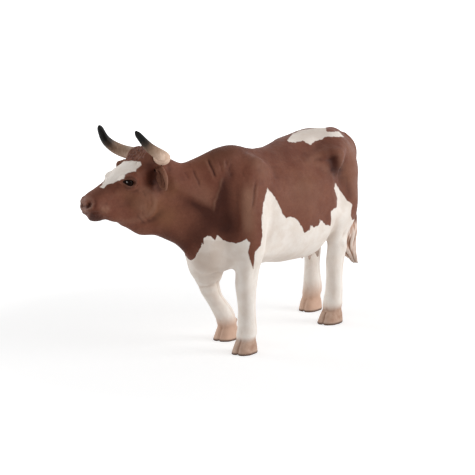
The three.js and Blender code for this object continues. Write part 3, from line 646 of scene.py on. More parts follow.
def model_hide():
    """The skin's places, pushed out to the small corrections of the outline and raised by the strokes."""
    write_places(skin, nudged(read_places(skin)))
    places = read_places(skin)
    normals = read_normals(skin)
    seen = seen_from_photo(places, normals)
    heights = stroke_heights(in_photo(places), seen, neck_strokes + body_strokes + face_strokes)
    pixels, turned = far_side(places, normals, trunk_frame)
    on_trunk = mark("trunk") * turned * (places[:, 1] < 0)
    heights += stroke_heights(pixels, on_trunk, body_strokes + neck_strokes[:4])
    in_head = in_head_frame(places)
    pixels, turned = far_side(places, normals, head_frame)
    heights += stroke_heights(pixels, mark("head") * turned * far_half_of_head(in_head), face_strokes)
    heights += curl_heights(in_head)
    heights += strand_heights(places)
    heights += eye_heights(in_head)
    for name in legs:
        heights += leg_heights(name, places)
    return places + normals * heights[:, None]


def eye_offsets(in_head):
    """Where places lie from the middle of the left eye and of the right one."""
    x, y, z = eye_place
    return in_head - (x, y, z), in_head - (x, -y, z)


def eye_heights(in_head):
    """The socket that each glass-black eye sits in, and its lids."""
    heights = np.zeros(len(in_head))
    for offset in eye_offsets(in_head):
        along = offset[:, 0] * math.cos(eye_tilt) - offset[:, 2] * math.sin(eye_tilt)
        up = offset[:, 2] * math.cos(eye_tilt) + offset[:, 0] * math.sin(eye_tilt)
        reach = np.hypot(along / eye_half_length, up / eye_half_height)
        near = np.abs(offset[:, 1]) < socket_reach
        heights -= near * socket_depth * smooth_step(1.2, 0.9, reach)
        heights += near * lid_height * bell(reach - lid_reach, lid_width)
    return heights


def curl_heights(in_head):
    """Small curls of hair on the poll and the forehead."""
    rng = np.random.default_rng(7)
    seeds = rng.uniform((-3.5, -5.5), (7.0, 5.5), (curl_count, 2))
    taking = np.flatnonzero(on_poll(*in_head.T))
    spots = in_head[taking, :2]
    gaps = np.hypot(spots[:, None, 0] - seeds[None, :, 0], spots[:, None, 1] - seeds[None, :, 1])
    gaps.sort(axis=1)
    between = gaps[:, 1] - gaps[:, 0]
    fade = smooth_step(8.5, 4.5, np.abs(spots[:, 0] - curl_middle))
    fade *= smooth_step(curl_half_width, 4.5, np.abs(spots[:, 1]))
    heights = np.zeros(len(in_head))
    heights[taking] = fade * (curl_height * smooth_step(0, 0.9, between) - 0.12)
    return heights


def leg_heights(name, places):
    """Tendons down the cannon bone, the knee or hock, and the coronet and cleft of the hoof."""
    own = mark(name)
    taking = np.flatnonzero((own > 0.02) & (places[:, 2] < leg_top))
    x, y, z = places[taking].T
    sole_x, sole_y = legs[name][0]
    turn = np.abs(np.arctan2(y - sole_y, x - np.interp(z, *leg_middles[name])))
    high = cannon_high[name.split("_", 1)[1]]
    cannon = smooth_step(cannon_low - 2, cannon_low + 2, z) * smooth_step(high + 3, high - 2, z)
    heights = -0.42 * cannon * bell(turn - 1.95, 0.32)
    upper = smooth_step(high + 2, high + 5, z) * smooth_step(high + 14, high + 8, z)
    heights -= 0.35 * upper * bell(turn - 1.3, 0.35)
    heights += 0.22 * bell(z - (high + 2.5), 2.2) * bell(turn, 0.7)
    if name.endswith("hind_leg"):
        heights += 0.5 * bell(z - hock_height, 2.2) * smooth_step(2.4, 3.0, turn)
    along = x - sole_x
    across = y - sole_y
    coronet = coronet_height - coronet_lean * along
    heights -= 0.06 * bell(z - coronet, 0.5)
    heights += 0.1 * bell(z - coronet - 1.4, 1.0)
    heights -= 0.4 * (smooth_step(5.8, 4.2, z) * bell(across, 0.42) * (np.abs(along) > 2))
    pastern = smooth_step(11, 8, z) * smooth_step(4.5, 6, z)
    heights -= 0.25 * pastern * bell(across, 0.8) * (along > 0)
    full = np.zeros(len(places))
    full[taking] = heights * own[taking]
    return full


def strand_heights(places):
    """Locks of hair down the switch of the tail."""
    own = mark("tail")
    taking = np.flatnonzero((own > 0.02) & (places[:, 2] < switch_top))
    x, y, z = places[taking].T
    levels = np.arange(16.0, 40.0, 1.5)
    tail = places[owned_by("tail")]
    centres = np.array([tail[np.abs(tail[:, 2] - level) < 2].mean(axis=0)[:2] for level in levels])
    turn = np.arctan2(y - np.interp(z, levels, centres[:, 1]), x - np.interp(z, levels, centres[:, 0]))
    locks = np.cos(6 * turn + 0.16 * z) + 0.6 * np.cos(13 * turn - 0.22 * z + 1.0)
    full = np.zeros(len(places))
    full[taking] = own[taking] * 0.3 * locks * smooth_step(33, 28, z)
    return full


def middles_of(name):
    """The x of a leg's middle at a row of heights."""
    places = read_places(skin)[owned_by(name)]
    levels = np.arange(2.0, 38.0, 2.0)
    return levels, [places[np.abs(places[:, 2] - level) < 1.2, 0].mean() for level in levels]


def finish_skin(places):
    """Keeps the soles flat and the whole within the CAD model's box."""
    low = np.array(cad_bounds[0]) / METRE + ground_shift
    high = np.array(cad_bounds[1]) / METRE + ground_shift
    places[:, 2] = np.where(places[:, 2] < sole_flat, 0, places[:, 2])
    write_places(skin, np.clip(places, low, high))


bare_skin = tree_of_skin(ease(nudged(read_places(skin)), edges, 0.8, 30))
leg_middles = {name: middles_of(name) for name in legs}
finish_skin(ease(model_hide(), edges, 0.25, 1))
print("skin", len(skin.data.vertices), len(skin.data.polygons))


# Paint: the outlines of the white patches, first those that are seen, in pixels

white_flank = [
    267.5, 188, 265.2, 196.5, 262.4, 208.5, 262, 221.5, 262.4, 235.4, 260.6, 245.5, 255, 252.4, 254.2,
    260, 253, 268.8, 250.3, 260, 248.1, 252.8, 249.4, 247.2, 250.3, 242.5, 246.4, 238.6, 242.5, 241.6,
    236.5, 243.4, 227, 242, 221.9, 239, 217.1, 234.7, 215, 240.3, 210.7, 236.5, 207.2, 235.6, 203.4,
    238.6, 203.4, 244.2, 201.2, 242, 201.2, 246.4, 197.8, 251.5, 190, 255, 165, 262, 165, 400, 420, 400,
    420, 222, 352.2, 219.6, 350.4, 215, 352.2, 204.3, 346.7, 200.2, 340.2, 190.9, 335.5, 183, 334.2, 188,
    337.4, 198.3, 336.5, 207, 331.4, 211.3, 330.5, 226, 325.4, 224.7, 320.3, 219.2, 318.9, 225.2, 314.3,
    227.5, 311, 225.2, 309.2, 230.3, 304.5, 232.6, 301.3, 226, 296.2, 219, 291, 216.9, 286.5, 218, 282.8,
    214.5, 281.4, 209, 274.4, 196.5,
]
white_rump = [
    287.4, 140, 293, 133.5, 300.4, 130.3, 313.3, 128, 325.8, 127, 326.5, 131.7, 339, 131.7, 343.9, 136.8,
    324.4, 136.8, 322.6, 139, 314.3, 141.4, 310.6, 144.6, 306.9, 143.2, 303, 140.5, 294.8, 142.3, 289.3,
    141.9,
]
white_blaze = [
    127.2, 161.4, 131.4, 161, 140.5, 161.4, 141.3, 164.7, 136.3, 168.9, 135.5, 171.4, 129.7, 172.2, 124.7,
    174.7, 123.9, 178.8, 118.9, 180.5, 113.1, 183, 107.3, 184.2, 104, 188, 99.4, 187.1, 104.7, 181.5,
    104.3, 175.5, 111.8, 165.2, 119.8, 161.9,
]
# The far side of the rump, seen from above, as x and y in millimetres
white_far_rump = [
    -14, 2, -16, -5, -19, -8.5, -18.5, -12.5, -22, -15, -24.5, -13, -27, -16.5, -31, -13.5, -30, -9.5,
    -34, -8, -33, -4.5, -28.5, -2.5, -25, 0, -22, 4,
]


def inside_outline(points, outline):
    """How far points lie inside a closed outline, negative outside it."""
    ring = np.reshape(outline, (-1, 2))
    nearest = np.full(len(points), np.inf)
    inside = np.zeros(len(points), dtype=bool)
    for a, b in zip(ring, np.roll(ring, -1, axis=0)):
        nearest = np.minimum(nearest, to_segment(points, a, b)[0])
        crosses = (a[1] > points[:, 1]) != (b[1] > points[:, 1])
        at = a[0] + (points[:, 1] - a[1]) * (b[0] - a[0]) / ((b[1] - a[1]) or 1e-9)
        inside ^= crosses & (points[:, 0] < at)
    return np.where(inside, nearest, -nearest)


# The right side of the coat, that the photograph doesn't show, as x and z in millimetres
white_right_flank = [
    70, 40, 62, 39.5, 55, 38, 46, 37.5, 43, 39.5, 40, 37.5, 37, 41, 33.5, 38.5, 30, 31, 28.5, 36, 25.5,
    42, 23, 50, 20.5, 60, 17, 64.5, 14.5, 61, 12.5, 52, 9, 46.5, 5, 44, 1, 40, -4, 42.5, -8, 40, -12, 44,
    -15, 51, -18, 58, -21, 53, -25, 46, -31, 42.5, -37, 43.5, -44, 40, -70, 40, -70, -20, 62, -20,
]

# Washes of paint, and of painted shade and painted highlight: a width in millimetres, a strength and the
# pixels of a line
# Darker: painted shade in the hollows of the temple, the flank and before the shoulder, under the neck and
# on the withers, and dark paint on the nostril and mouth
dark_paint_and_painted_shade = [
    (2.8, 0.76, 149, 160, 150, 172, 152, 187),
    (1, 0.5, 157, 184, 161, 192),
    (2.4, 1, 331.5, 154, 334, 164, 336, 176),
    (1.8, 0.3, 343, 174, 347, 188, 350, 200),
    (0.7, 1, 85.3, 206.8, 88, 206.3, 90.2, 203.2),
    (0.7, 0.35, 94.8, 200, 95.4, 204, 94.4, 208),
    (2.4, 0.55, 233, 168, 227, 180, 223, 194, 220, 208),
    (3, 0.6, 227, 186, 226, 204, 228, 220, 232, 236),
    (1, 0.1, 238.5, 188, 238.5, 210, 239.5, 232),
    (0.8, 0.45, 224, 180, 221.5, 192, 217.8, 203, 216.2, 212),
    (1.3, 0.5, 190, 202, 202, 208.5, 212, 213.5),
    (0.45, 0.35, 208.5, 160, 211, 167, 215, 176),
    (0.45, 0.25, 193, 170, 196, 177.5, 199, 184),
    (5.5, 0.85, 192, 246, 203, 232, 213, 222, 228, 234),
    (3.4, 0.5, 182, 200, 195, 207, 210, 216),
    (3, 0.5, 160, 233, 176, 240, 190, 250),
    (1.9, 0.9, 88, 216.5, 95, 220, 104, 219.5),
    (1.5, 0.5, 90, 213, 99, 214),
    (3.4, 0.45, 205, 150, 228, 147, 250, 150),
    (3.4, 0.3, 208, 158, 222, 158, 234, 160),
    (3, 0.3, 300, 158, 320, 146, 336, 143),
    (4, 0.3, 268, 152, 290, 152),
    (1.8, 0.3, 128, 160, 134, 150, 144, 150),
    (1.7, 0.4, 113, 183, 101, 191, 93, 199),
    (0.8, 0.4, 168, 163, 170, 172),
    (0.5, 0.35, 255.5, 183, 254.4, 193, 252.4, 207),
]
# Lighter: painted highlight on ridges and lit planes, and lighter paint
light_paint_and_painted_highlights = [
    (2.2, 0.95, 248.5, 186, 248.5, 212, 249.5, 234),
    (2.4, 0.35, 253, 160, 262, 168, 266, 180),
    (2.2, 0.3, 196, 184, 206, 192, 212, 200),
    (0.6, 0.45, 221.8, 179, 219.5, 190, 215.5, 201, 213.3, 212),
    (1.5, 0.35, 192, 194, 203, 200, 211, 206),
    (1.5, 0.35, 306, 164, 314, 157, 324, 154),
    (1.5, 0.3, 313, 164, 322, 165, 328, 172),
    (1.8, 0.5, 346, 140, 352, 150, 354, 175, 354, 200),
    (7, 0.35, 290, 185, 305, 200, 320, 205),
    (0.9, 0.4, 153, 194, 155, 206, 149, 215, 138, 219.5, 125, 221.5),
    (1.8, 0.3, 141, 205, 146, 214),
    (1.3, 0.6, 101, 207, 105, 210.5, 109, 207),
    (1.2, 0.3, 138, 188, 145, 193, 150, 199),
    (3.2, 0.3, 136, 197, 142, 203, 139, 211),
    (2.4, 0.35, 137, 150, 141, 156),
]
# Painted shade, pinkish, on the white of the chest and the far leg
painted_shade_on_white = [
    (5, 0.6, 202, 252, 204, 264, 206, 277),
    (4, 0.5, 213, 246, 215, 260, 213, 274),
    (4, 0.3, 226, 248, 227, 258),
    (3, 0.3, 238, 250, 238, 262),
    (3, 0.5, 298, 139, 315, 134, 330, 133),
    (2.4, 0.35, 212, 292, 219, 306),
    (1.4, 0.42, 244.6, 260, 245, 290, 245.4, 330),
    (1.8, 0.35, 337, 216, 334, 234, 327, 246),
    (1.4, 0.35, 334, 250, 334, 280, 333, 305),
    (1.8, 0.35, 265, 259, 285, 259, 305, 256),
]
# Painted shade on the chest, where it hangs in front of the far leg
chest_shade = [
    193, 240, 242, 240, 238, 262, 226.5, 271, 221, 277.5, 217, 283.5, 211, 285.5, 203, 285, 199, 282, 195,
    268,
]
tawny_washes = [
    (4.5, 0.8, 150, 200, 160, 214, 176, 220),
    (3.5, 0.6, 166, 186, 178, 192),
    (2.5, 0.5, 124, 192, 134, 200, 134, 210),
    (4, 0.4, 300, 178, 312, 190),
    (2.4, 0.5, 344, 162, 346, 184),
    (3, 0.35, 196, 163, 215, 152, 235, 150),
]
muzzle_washes = [
    (1.2, 0.8, 81, 200, 82, 208, 85, 214),
    (0.8, 0.5, 83, 200.5, 88, 198, 92, 200),
    (0.5, 0.7, 87.5, 209, 91, 207.8, 92.6, 203.5),
]
paint_and_painted_light = {
    "dark": dark_paint_and_painted_shade,
    "light": light_paint_and_painted_highlights,
    "tawny": tawny_washes,
    "muzzle": muzzle_washes,
    "shade": painted_shade_on_white,
}


def waves(places, seed, lengths, fade=0.0):
    """Sines that run through places in random directions; fade weakens the short ones."""
    rng = np.random.default_rng(seed)
    total = np.zeros(len(places))
    for wave in lengths:
        way = rng.normal(size=3)
        total += np.sin(places @ (way / np.linalg.norm(way)) * wave + rng.uniform(0, 6)) / wave**fade
    return total


def wandering(places, seed):
    """A gentle wander of a few tenths of a millimetre, to rag the edge of a patch."""
    return 0.5 * waves(places, seed, (0.35, 0.6, 0.9, 1.4, 2.1), 0.7)


def white_patches(places, normals):
    """How far each place lies inside the white of the coat, in millimetres, negative in the brown."""
    in_head = in_head_frame(places)
    shown = facing(normals, -0.1, 0.12)
    pixels = in_photo(places)
    flank = inside_outline(pixels, white_flank) * pixel_size
    right_flank = inside_outline(places[:, [0, 2]], white_right_flank) + 1.1 * wandering(places, 3)
    white = flank * shown + right_flank * (1 - shown)
    rump = inside_outline(pixels, white_rump) * pixel_size
    far_rump = inside_outline(places[:, :2], white_far_rump) + 0.8 * wandering(places, 5)
    far_rump = np.minimum(far_rump, places[:, 2] - rump_edge + 1.2 * wandering(places, 8))
    white = np.maximum(white, rump * shown + far_rump * (1 - shown))
    inner = smooth_step(0.1, 0.5, normals[:, 1]) * mark(*far_legs)
    inner += smooth_step(0.1, 0.5, -normals[:, 1]) * mark(*near_legs)
    white = white * (1 - inner) + sock_inside * inner
    low_leg = smooth_step(40, 36, places[:, 2]) * (1 - shown)
    white = np.maximum(white, 2 * deep * low_leg - deep)
    near_face = np.maximum(smooth_step(-1.0, 1.0, in_head[:, 1]), shown)
    over = in_photo(mirrored_over(head_frame, places))
    blaze = inside_outline(pixels, white_blaze) * near_face
    blaze += inside_outline(over, white_blaze) * (1 - near_face)
    head = mark("head")
    on_brow = (in_head[:, 2] > -7) & (head > 0.5)
    white = np.where(on_brow, np.maximum(white, blaze * pixel_size), white)
    white = np.where((head > 0.6) & ~on_brow, -deep, white)
    return np.clip(np.where(mark("tail") > 0.5, -deep, white), -deep, deep)


def paint_washes_and_light(skin, places, normals):
    """Writes the washes of paint and of painted shade and highlight, on the side that the photograph shows
    and mirrored on the other.
    """
    in_head = in_head_frame(places)
    head = mark("head")
    pixels = in_photo(places)
    seen = facing(normals, -0.05, 0.2)
    over_head, on_head = far_side(places, normals, head_frame)
    on_head *= head * far_half_of_head(in_head)
    over_trunk, on_trunk = far_side(places, normals, trunk_frame)
    on_trunk *= (1 - head) * (places[:, 1] < 0)
    for name, lines in paint_and_painted_light.items():
        total = stroke_heights(pixels, seen, lines)
        total = np.maximum(total, stroke_heights(over_head, on_head, lines))
        total = np.maximum(total, stroke_heights(over_trunk, on_trunk, lines))
        # painted shade where the chest hangs in front of the far leg
        if name == "shade":
            within = smooth_step(-0.1, 0.35, inside_outline(pixels, chest_shade) * pixel_size) * seen
            total = np.maximum(total, 0.55 * within * smooth_step(242, 226, pixels[:, 0]))
        write_values(skin, name, np.clip(total, 0, 1))


def paint_coat(skin):
    """Writes where each colour lies, for the material to read."""
    places = read_places(skin)
    normals = ease(read_normals(skin), edges, 0.8, 25)
    normals /= np.linalg.norm(normals, axis=1)[:, None]
    write_values(skin, "white", white_patches(places, normals))
    write_values(skin, "switch", smooth_step(35.5, 33.0, places[:, 2]) * (mark("tail") > 0.5))
    paint_washes_and_light(skin, places, normals)
    hoof = np.zeros(len(places))
    dewclaw = np.zeros(len(places))
    for name, ((sole_x, sole_y), fade) in legs.items():
        along = places[:, 0] - sole_x
        hoof += mark(name) * smooth_step(*fade, places[:, 2] + coronet_lean * along)
        offset = (places - (sole_x - dewclaw_behind, sole_y, dewclaw_height)) * (1, 0.6, 1)
        dewclaw += smooth_step(1.9, 1.0, np.linalg.norm(offset, axis=1))
    write_values(skin, "hoof", np.clip(hoof, 0, 1))
    write_values(skin, "warm", mark(*far_legs))
    write_values(skin, "dewclaw", dewclaw)
    write_values(skin, "udder", mark("udder"))
    eyelid = np.zeros(len(places))
    for offset in eye_offsets(in_head_frame(places)):
        eyelid += smooth_step(2.6, 1.8, np.linalg.norm(offset * (0.9, 0.6, 0.9), axis=1))
    write_values(skin, "eyelid", np.clip(eyelid, 0, 1))
    write_hollows(skin, edges)


def write_hollows(obj, edges):
    """How deep each place lies in a hollow, or how far it stands on a ridge, narrow and broad."""
    places = read_places(obj)
    normals = read_normals(obj)
    narrow = np.sum((ease(places, edges, 0.8, 5) - places) * normals, axis=1)
    broad = np.sum((ease(places, edges, 0.8, 45) - places) * normals, axis=1)
    write_values(obj, "narrow", ease(narrow, edges, 0.5, 1))
    write_values(obj, "broad", broad)


paint_coat(skin)


# Materials

def linear(colour):
    """An sRGB hex colour as the linear values that a shader takes."""
    parts = [int(colour[n : n + 2], 16) / 255 for n in (1, 3, 5)]
    return tuple(p / 12.92 if p <= 0.04045 else ((p + 0.055) / 1.055) ** 2.4 for p in parts) + (1.0,)


def cleared_tree(owner):
    owner.use_nodes = True
    owner.node_tree.nodes.clear()
    return owner.node_tree


def new_material(name):
    material = bpy.data.materials.new(name)
    tree = cleared_tree(material)
    shader = add_node(tree, "ShaderNodeBsdfPrincipled")
    add_node(tree, "ShaderNodeOutputMaterial", {"Surface": shader.outputs["BSDF"]})
    return material, tree, shader


def feed(tree, socket, value):
    """Links or sets a socket; a colour may be given as sRGB hex."""
    if isinstance(value, bpy.types.NodeSocket):
        tree.links.new(value, socket)
    else:
        socket.default_value = linear(value) if isinstance(value, str) else value


def add_node(tree, kind, inputs=None, **settings):
    node = tree.nodes.new(kind)
    for key, value in settings.items():
        setattr(node, key, value)
    for key, value in (inputs or {}).items():
        feed(tree, node.inputs[key], value)
    return node


def finish_shader(tree, shader, colour, roughness, specular):
    feed(tree, shader.inputs["Base Color"], colour)
    feed(tree, shader.inputs["Roughness"], roughness)
    feed(tree, shader.inputs["Specular IOR Level"], specular)


def mix_colour(tree, share, low, high):
    return add_node(tree, "ShaderNodeMix", {0: share, 6: low, 7: high}, data_type="RGBA").outputs[2]


def attribute(tree, name):
    return add_node(tree, "ShaderNodeAttribute", attribute_name=name).outputs["Fac"]


def ramp(tree, value, low, high, start=0.0, end=1.0):
    limits = {"From Min": low, "From Max": high, "To Min": start, "To Max": end}
    return add_node(tree, "ShaderNodeMapRange", {"Value": value} | limits).outputs["Result"]


def maths(tree, operation, a, b=0.0):
    return add_node(tree, "ShaderNodeMath", {0: a, 1: b}, operation=operation).outputs[0]


def object_place(tree):
    return tree.nodes.new("ShaderNodeTexCoord").outputs["Object"]


def noise(tree, size, detail=3.0, stretch=(1, 1, 1), roughness=0.55):
    """Noise with features of a size in millimetres, on object coordinates."""
    mapping = add_node(tree, "ShaderNodeMapping", {"Vector": object_place(tree), "Scale": stretch})
    inputs = {"Scale": 1 / (size * METRE), "Detail": detail, "Roughness": roughness}
    inputs["Vector"] = mapping.outputs[0]
    return add_node(tree, "ShaderNodeTexNoise", inputs).outputs["Fac"]


def mottled(tree, grain, low, high, first, second):
    """Two colours that run into each other as a noise goes from low to high."""
    return mix_colour(tree, ramp(tree, grain, low, high), first, second)


def add_bump(tree, shader, height, strength, depth):
    inputs = {"Height": height, "Strength": strength, "Distance": depth * METRE}
    feed(tree, shader.inputs["Normal"], add_node(tree, "ShaderNodeBump", inputs).outputs[0])


def veiled(tree, colour, name, strength, over):
    """A colour laid over another where an attribute says, at most as strongly as given."""
    return mix_colour(tree, maths(tree, "MULTIPLY", attribute(tree, name), strength), colour, over)


def wash_and_painted_light_group():
    """Darkens hollows and lightens ridges: painted shade and painted highlight, with thin paint that is
    wiped off the high places.
    """
    tree = bpy.data.node_groups.new("wash_and_painted_light", "ShaderNodeTree")
    for name in ("Colour", "Hollow Colour", "Ridge Colour", "Hollow Strength", "Ridge Strength"):
        kind = "NodeSocketFloat" if name.endswith("Strength") else "NodeSocketColor"
        tree.interface.new_socket(name, in_out="INPUT", socket_type=kind)
    tree.interface.new_socket("Colour", in_out="OUTPUT", socket_type="NodeSocketColor")
    given = tree.nodes.new("NodeGroupInput").outputs
    narrow = attribute(tree, "narrow")
    broad = attribute(tree, "broad")
    hollow = maths(tree, "ADD", ramp(tree, narrow, 0.005, 0.09), ramp(tree, broad, 0.02, 0.45, 0.0, 0.7))
    ridge = maths(tree, "ADD", ramp(tree, narrow, -0.01, -0.08), ramp(tree, broad, -0.15, -0.7, 0.0, 0.4))
    hollow = maths(tree, "MULTIPLY", hollow, given["Hollow Strength"])
    ridge = maths(tree, "MULTIPLY", ridge, given["Ridge Strength"])
    colour = mix_colour(tree, hollow, given["Colour"], given["Hollow Colour"])
    add_node(tree, "NodeGroupOutput", {"Colour": mix_colour(tree, ridge, colour, given["Ridge Colour"])})
    return tree


def washed_and_painted_light(tree, *inputs):
    """A colour with a hollow colour, a ridge colour and their strengths, put through the wash of painted
    shade in hollows and painted highlight on ridges.
    """
    node = add_node(tree, "ShaderNodeGroup", dict(enumerate(inputs)), node_tree=wash_and_painted_light)
    return node.outputs["Colour"]


def hide_brown(tree):
    """Red-brown paint with tawny washes, and with darker washes that are painted shade and dark paint."""
    colour = mottled(tree, noise(tree, 5.5, 4.0), 0.38, 0.66, "#7b4c3b", "#6f4031")
    grain = noise(tree, 0.8, 3.0, (0.5, 1, 1))
    colour = mix_colour(tree, ramp(tree, grain, 0.35, 0.75, 0.0, 0.3), colour, "#573023")
    colour = veiled(tree, colour, "tawny", 0.5, "#80583a")
    # lighter wash: painted highlight and lighter paint
    colour = veiled(tree, colour, "light", 0.7, "#936c58")
    # painted shade in the hollows and painted highlight on the ridges of the brown
    colour = washed_and_painted_light(tree, colour, "#3a1c14", "#8f6956", 0.6, 0.3)
    colour = veiled(tree, colour, "muzzle", 0.6, "#96786c")
    # darker wash: painted shade in hollows and dark paint
    return veiled(tree, colour, "dark", 0.88, "#38160c")


def hide_white(tree):
    colour = mottled(tree, noise(tree, 4.0, 4.0), 0.35, 0.7, "#f2eae2", "#e8dcd1")
    # painted shade in the hollows and painted highlight on the ridges of the white
    colour = washed_and_painted_light(tree, colour, "#b39e8e", "#f6f2ec", 0.5, 0.4)
    # painted shade on the white
    colour = veiled(tree, colour, "shade", 0.75, "#bda898")
    return veiled(tree, colour, "udder", 0.5, "#e0c6b8")


def teat_colour(tree, colour, height):
    low = ramp(tree, height, 28 * METRE, 24.5 * METRE, 0.0, 0.7)
    return mix_colour(tree, maths(tree, "MULTIPLY", low, attribute(tree, "udder")), colour, "#a68a79")


def hoof_colour(tree):
    colour = mottled(tree, noise(tree, 2.0, 4.0), 0.3, 0.7, "#c4a794", "#a98571")
    # painted shade in the hollows and painted highlight on the ridges of the hoof
    colour = washed_and_painted_light(tree, colour, "#7a5a49", "#d6bfae", 0.45, 0.3)
    colour = veiled(tree, colour, "warm", 0.7, "#d9b6a0")
    return veiled(tree, colour, "dewclaw", 0.6, "#6b5247")


def switch_colour(tree, height):
    colour = mottled(tree, noise(tree, 0.75, 3.0, (1, 1, 0.12)), 0.42, 0.62, "#ecdace", "#bb8f77")
    # painted shade in the hollows and painted highlight on the ridges of the switch
    colour = washed_and_painted_light(tree, colour, "#85604c", "#efe2d8", 0.8, 0.4)
    return mix_colour(tree, ramp(tree, height, 26 * METRE, 17 * METRE, 0.0, 0.5), colour, "#8d7361")


def coat_material():
    material, tree, shader = new_material("painted_hide")
    ragged = maths(tree, "SUBTRACT", noise(tree, 1.6, 4.0, (1, 1, 0.5)), 0.5)
    white = maths(tree, "ADD", attribute(tree, "white"), maths(tree, "MULTIPLY", ragged, 1.1))
    height = add_node(tree, "ShaderNodeSeparateXYZ", {0: object_place(tree)}).outputs["Z"]
    colour = mottled(tree, white, -0.13, 0.13, hide_brown(tree), hide_white(tree))
    colour = mix_colour(tree, attribute(tree, "switch"), colour, switch_colour(tree, height))
    colour = mix_colour(tree, attribute(tree, "hoof"), colour, hoof_colour(tree))
    colour = teat_colour(tree, colour, height)
    # painted contact shadow along the bottom of the hooves
    sole = ramp(tree, height, 1.0 * METRE, 0.35 * METRE, 0.0, 0.9)
    colour = mix_colour(tree, sole, colour, "#4a3329")
    colour = veiled(tree, colour, "eyelid", 0.55, "#35180f")
    finish_shader(tree, shader, colour, ramp(tree, noise(tree, 2.6, 2.0), 0.3, 0.7, 0.5, 0.64), 0.14)
    fine = maths(tree, "MULTIPLY", noise(tree, 0.55, 3.0, (0.45, 1, 1)), 0.8)
    coarse = maths(tree, "MULTIPLY", noise(tree, 1.9, 3.0), 1.3)
    add_bump(tree, shader, maths(tree, "ADD", coarse, fine), 0.7, 0.18)
    return material


def horn_material():
    """Cream horn, with painted shade along its upper side, that darkens to a black tip."""
    material, tree, shader = new_material("horn")
    streaks = noise(tree, 0.9, 4.0, (1, 1, 0.25))
    colour = mottled(tree, streaks, 0.35, 0.7, "#ecd0bb", "#d0ad95")
    # painted shade on the upward-facing side of the horn
    upper = ramp(tree, attribute(tree, "upper"), 0.1, 1.0, 0.0, 0.45)
    colour = mix_colour(tree, upper, colour, "#8d7663")
    wander = maths(tree, "MULTIPLY", maths(tree, "SUBTRACT", streaks, 0.5), 0.22)
    smoky = maths(tree, "ADD", attribute(tree, "tip"), wander)
    for low, high, darker in ((0.05, 0.42, "#8f7460"), (0.4, 0.6, "#463930"), (0.55, 0.7, "#0d0c0b")):
        colour = mottled(tree, smoky, low, high, colour, darker)
    finish_shader(tree, shader, colour, ramp(tree, streaks, 0.3, 0.7, 0.4, 0.52), 0.16)
    add_bump(tree, shader, streaks, 0.4, 0.12)
    return material


def eye_material():
    material, tree, shader = new_material("eye")
    colour = mottled(tree, noise(tree, 0.8, 2.0), 0.35, 0.7, "#0c0503", "#210f08")
    # painted highlight
    colour = mix_colour(tree, attribute(tree, "glint"), colour, "#e8e4e0")
    finish_shader(tree, shader, colour, 0.14, 0.03)
    return material


# Horns, ears and eyes

def small_piece(node, voxel, turns, weight):
    piece = cad_copy(node, node + "_moulding")
    remesh(piece, voxel)
    piece = keep_outer_shell(piece)
    piece.name = node + "_moulding"
    links = read_edges(piece)
    settle(piece, links, weight, turns, [node])
    return piece, links


def dress(piece, material, node):
    piece.data.materials.clear()
    piece.data.materials.append(material)
    if node:
        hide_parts(node)
    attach(piece, "root")


def cut_at_seams(skin):
    """Cuts the fused skin into one piece for each CAD node, with the fused normals kept on each."""
    normals = skin.data.attributes.new("fused_normal", "FLOAT_VECTOR", "POINT")
    normals.data.foreach_set("vector", read_normals(skin).astype(np.float32).ravel())
    belongs = np.stack([ease(owned_by(node) * 1.0, edges, 0.7, 12) for node in fused_nodes], axis=1)
    corners, starts = face_corners(skin.data)
    label = np.add.reduceat(belongs[corners], starts, axis=0).argmax(axis=1)
    skin.data.materials.clear()
    for node in fused_nodes:
        skin.data.materials.append(bpy.data.materials.new(node))
    skin.data.polygons.foreach_set("material_index", label.astype(np.int32))
    edit_all_of(skin)
    bpy.ops.mesh.separate(type="MATERIAL")
    to_mode("OBJECT")
    return {piece.data.materials[0].name: piece for piece in bpy.context.selected_objects}


def select_rim():
    """Selects the open rim of the mesh in edit mode."""
    bpy.ops.mesh.select_mode(type="EDGE")
    bpy.ops.mesh.select_all(action="DESELECT")
    bpy.ops.mesh.select_non_manifold(
        extend=False, use_wire=False, use_boundary=True, use_multi_face=False, use_non_contiguous=False
    )


def close_seams(piece):
    """Turns the rims of a piece inwards and closes them, then gives the skin its fused normals."""
    mesh = piece.data
    count = len(mesh.polygons)
    select_only(piece)
    to_mode("EDIT")
    select_rim()
    bpy.ops.mesh.extrude_region_move()
    to_mode("OBJECT")
    normals = read_row(mesh.attributes["fused_normal"].data, "vector", width=3)
    inner = read_row(mesh.vertices, "select", bool)
    write_places(piece, read_places(piece) - normals * inner[:, None] * seam_depth)
    to_mode("EDIT")
    select_rim()
    bpy.ops.mesh.fill_holes(sides=0)
    bpy.ops.mesh.select_mode(type="FACE")
    bpy.ops.mesh.select_all(action="DESELECT")
    bpy.ops.mesh.select_face_by_sides(number=4, type="GREATER")
    bpy.ops.mesh.quads_convert_to_tris()
    to_mode("OBJECT")
    on_skin = np.arange(len(mesh.polygons)) < count
    mesh.polygons.foreach_set("use_smooth", on_skin)
    corners = face_corners(mesh)[0]
    totals = read_row(mesh.polygons, "loop_total", np.int32)
    mesh.normals_split_custom_set(normals[corners] * np.repeat(on_skin, totals)[:, None])
    mesh.attributes.remove(mesh.attributes["fused_normal"])


def make_mouldings(skin):
    for node, piece in cut_at_seams(skin).items():
        piece.name = node + "_moulding"
        close_seams(piece)
        dress(piece, hide, node)
        print(piece.name, len(piece.data.vertices), len(piece.data.polygons))


def smooth(piece):
    piece.data.polygons.foreach_set("use_smooth", [True] * len(piece.data.polygons))


